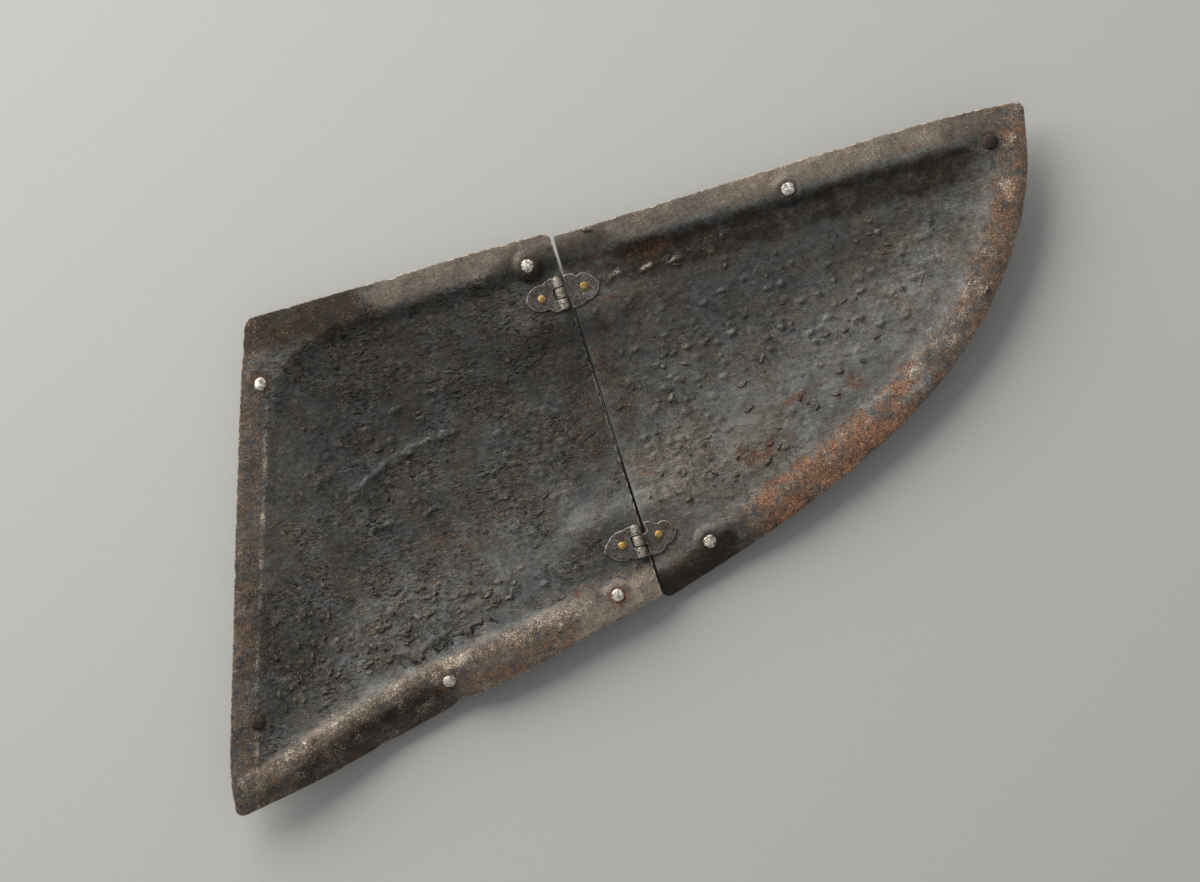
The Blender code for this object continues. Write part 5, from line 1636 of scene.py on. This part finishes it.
def rustyFinish():
    look = rustyIron
    material, w, shader, place, grain, cloud, colour = startMetal("rustyIron", look, "dark", "brown")
    colour = rusted(w, place, colour, look)
    specks = useGroup(w, "paleSpecks", {"Vector": place, "Size": 1.0, "Share": 0.45})
    colour = w.tint(w.blend(specks["Mask"] * 0.7, colour, look["yellow"]), grain["Tone"])
    endMetal(w, shader, look, colour, w.timesPlus(cloud, 0.2, 0.68), grain["Height"])
    return material


# Table, light and camera
studio = {
    "paper": (0.60, 0.60, 0.58),
    "paperTop": -0.42,           # just under the scale on the panel's underside
    "viewTurn": 17.4,            # the panel lies turned by this much in the view
    "aim": (-14.3, 9.0, 15.0),
    "distance": 2200.0,
    "viewWidth": 768.0,
    "keyAway": 2500.0, "keyHeight": 950.0, "keySize": 3600.0, "keyPower": 152.0,
    "ambient": (0.96, 0.98, 1.0, 1), "ambientStrength": 0.25,
}


def setStudio():
    mesh = bpy.data.meshes.new("table")
    reach, top = 3.0, studio["paperTop"] * mm
    around = [(-reach, -reach, top), (reach, -reach, top), (reach, reach, top), (-reach, reach, top)]
    mesh.from_pydata(around, [], [(0, 1, 2, 3)])
    table = newObject("table", mesh)
    material, w, shader, place = startFinish("paper")
    fibre = w.noise(place, 2.5, 4.0, 0.6)
    w.feed(shader, "Base Color", w.tint(studio["paper"], w.span(fibre, 0.2, 0.8, 0.985, 1.015)))
    shader.inputs["Roughness"].default_value = 0.9
    shader.inputs["Specular IOR Level"].default_value = 0.2
    bump(w, shader, fibre, 0.05, 0.3)
    mesh.materials.append(material)
    table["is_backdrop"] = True

    turn = math.radians(studio["viewTurn"])
    right = Vector((math.cos(turn), -math.sin(turn), 0))
    up = Vector((math.sin(turn), math.cos(turn), 0))
    aim = Vector(studio["aim"]) * mm
    lamp = bpy.data.lights.new("softKey", "AREA")
    lamp.shape = "DISK"
    lamp.size = studio["keySize"] * mm
    lamp.energy = studio["keyPower"]
    lamp.color = (1.0, 0.975, 0.94)
    key = bpy.data.objects.new("softKey", lamp)
    sideways = (up - right).normalized() * studio["keyAway"] * mm
    key.location = aim + sideways + Vector((0, 0, studio["keyHeight"] * mm))
    key.rotation_euler = (aim - key.location).to_track_quat("-Z", "Y").to_euler()
    bpy.context.scene.collection.objects.link(key)
    world = bpy.data.worlds.new("roomLight")
    world.use_nodes = True
    backdrop = world.node_tree.nodes["Background"]
    backdrop.inputs[0].default_value = studio["ambient"]
    backdrop.inputs[1].default_value = studio["ambientStrength"]
    bpy.context.scene.world = world

    lens = bpy.data.cameras.new("camera")
    lens.sensor_width = 36.0
    lens.lens = 36.0 * studio["distance"] / studio["viewWidth"]
    lens.clip_end = 20.0
    camera = bpy.data.objects.new("camera", lens)
    camera.location = aim + Vector((0, 0, studio["distance"] * mm))
    camera.rotation_euler = (0, 0, -turn)
    bpy.context.scene.collection.objects.link(camera)
    bpy.context.scene.camera = camera
    bpy.context.scene.view_settings.view_transform = "Standard"


# Making the panel
bodyOf = {"broad": "broad_side", "pointed": "pointed_side"}

for build in (pittedGrain, rustBloom, paleSpecks, brokenMask, scaleCrust, wornEdge):
    groups[build.__name__] = build()
finishes = {"plate": plateFinish("plateIron"), "hinge": hingeFinish(), "brass": brassFinish(),
            "white": whiteFinish(), "rusty": rustyFinish()}
print("finishes ready")

reliefTree, scalesTree, beatenRivets = scaleReliefTree(), looseScalesTree(), rivetTree()
slots = {"white": "white_metal", "rusty": "rusty_iron", "brass": "brass"}

for number, plate in enumerate(("broad", "pointed")):
    panel = makePlate(plate)
    useTree(panel, reliefTree, dict(surface, shift=130.0 * number, finish=finishes["plate"]))
    scales = []
    for kind, values in looseScales.items():
        scales.append(newObject(plate + kind.capitalize(), panel.data.copy()))
        useTree(scales[-1], scalesTree, dict(values, seed=values["seed"] + number, finish=finishes["plate"]))
    for piece in (panel, *scales):
        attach(piece, bodyOf[plate])
    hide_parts(plate + "_plate")
    print(plate, "plate made")

    kinds = {"white": [], "rusty": [], "brass": []}
    names = {"white": [], "rusty": [], "brass": []}
    for name, (onPlate, x, y, metal) in liningRivets.items():
        if onPlate == plate:
            z, slopeX, slopeY = rivetPlane(plate, x, y)
            kinds[metal].append(((x, y, z), (-slopeX, -slopeY, 1)))
            names[metal].append(name)
    for place, hinge in hinges["places"].items():
        x = hinges["pinX"] + sideOf[plate] * hinge[plate]
        kinds["brass"].append(((x, hinge["y"], leafTop), (0, 0, 1)))
        names["brass"].append(f"{place}_{plate}_hinge_rivet")
    for kind, rows in kinds.items():
        rivets = makeRivets(plate + kind.capitalize() + "Rivets", kind, rows, beatenRivets, finishes[kind])
        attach(rivets, bodyOf[plate])
        slots[kind]
        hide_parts(*names[kind])
    for place in hinges["places"]:
        leafName = f"{place}_{plate}_leaf"
        leaf = makeLeaf(leafName)
        leaf.data.materials.append(finishes["hinge"])
        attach(leaf, bodyOf[plate])
        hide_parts(leafName)
    print(plate, "rivets and leaves made")

for place in hinges["places"]:
    pin = makePin(place)
    pin.data.materials.append(finishes["hinge"])
    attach(pin, "broad_side")
    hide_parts(place + "_hinge_pin")
print("pins made")

setStudio()
boxes = {"cad": cadBox, "visual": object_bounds()}
{name: [list(corner) for corner in box] for name, box in boxes.items()}
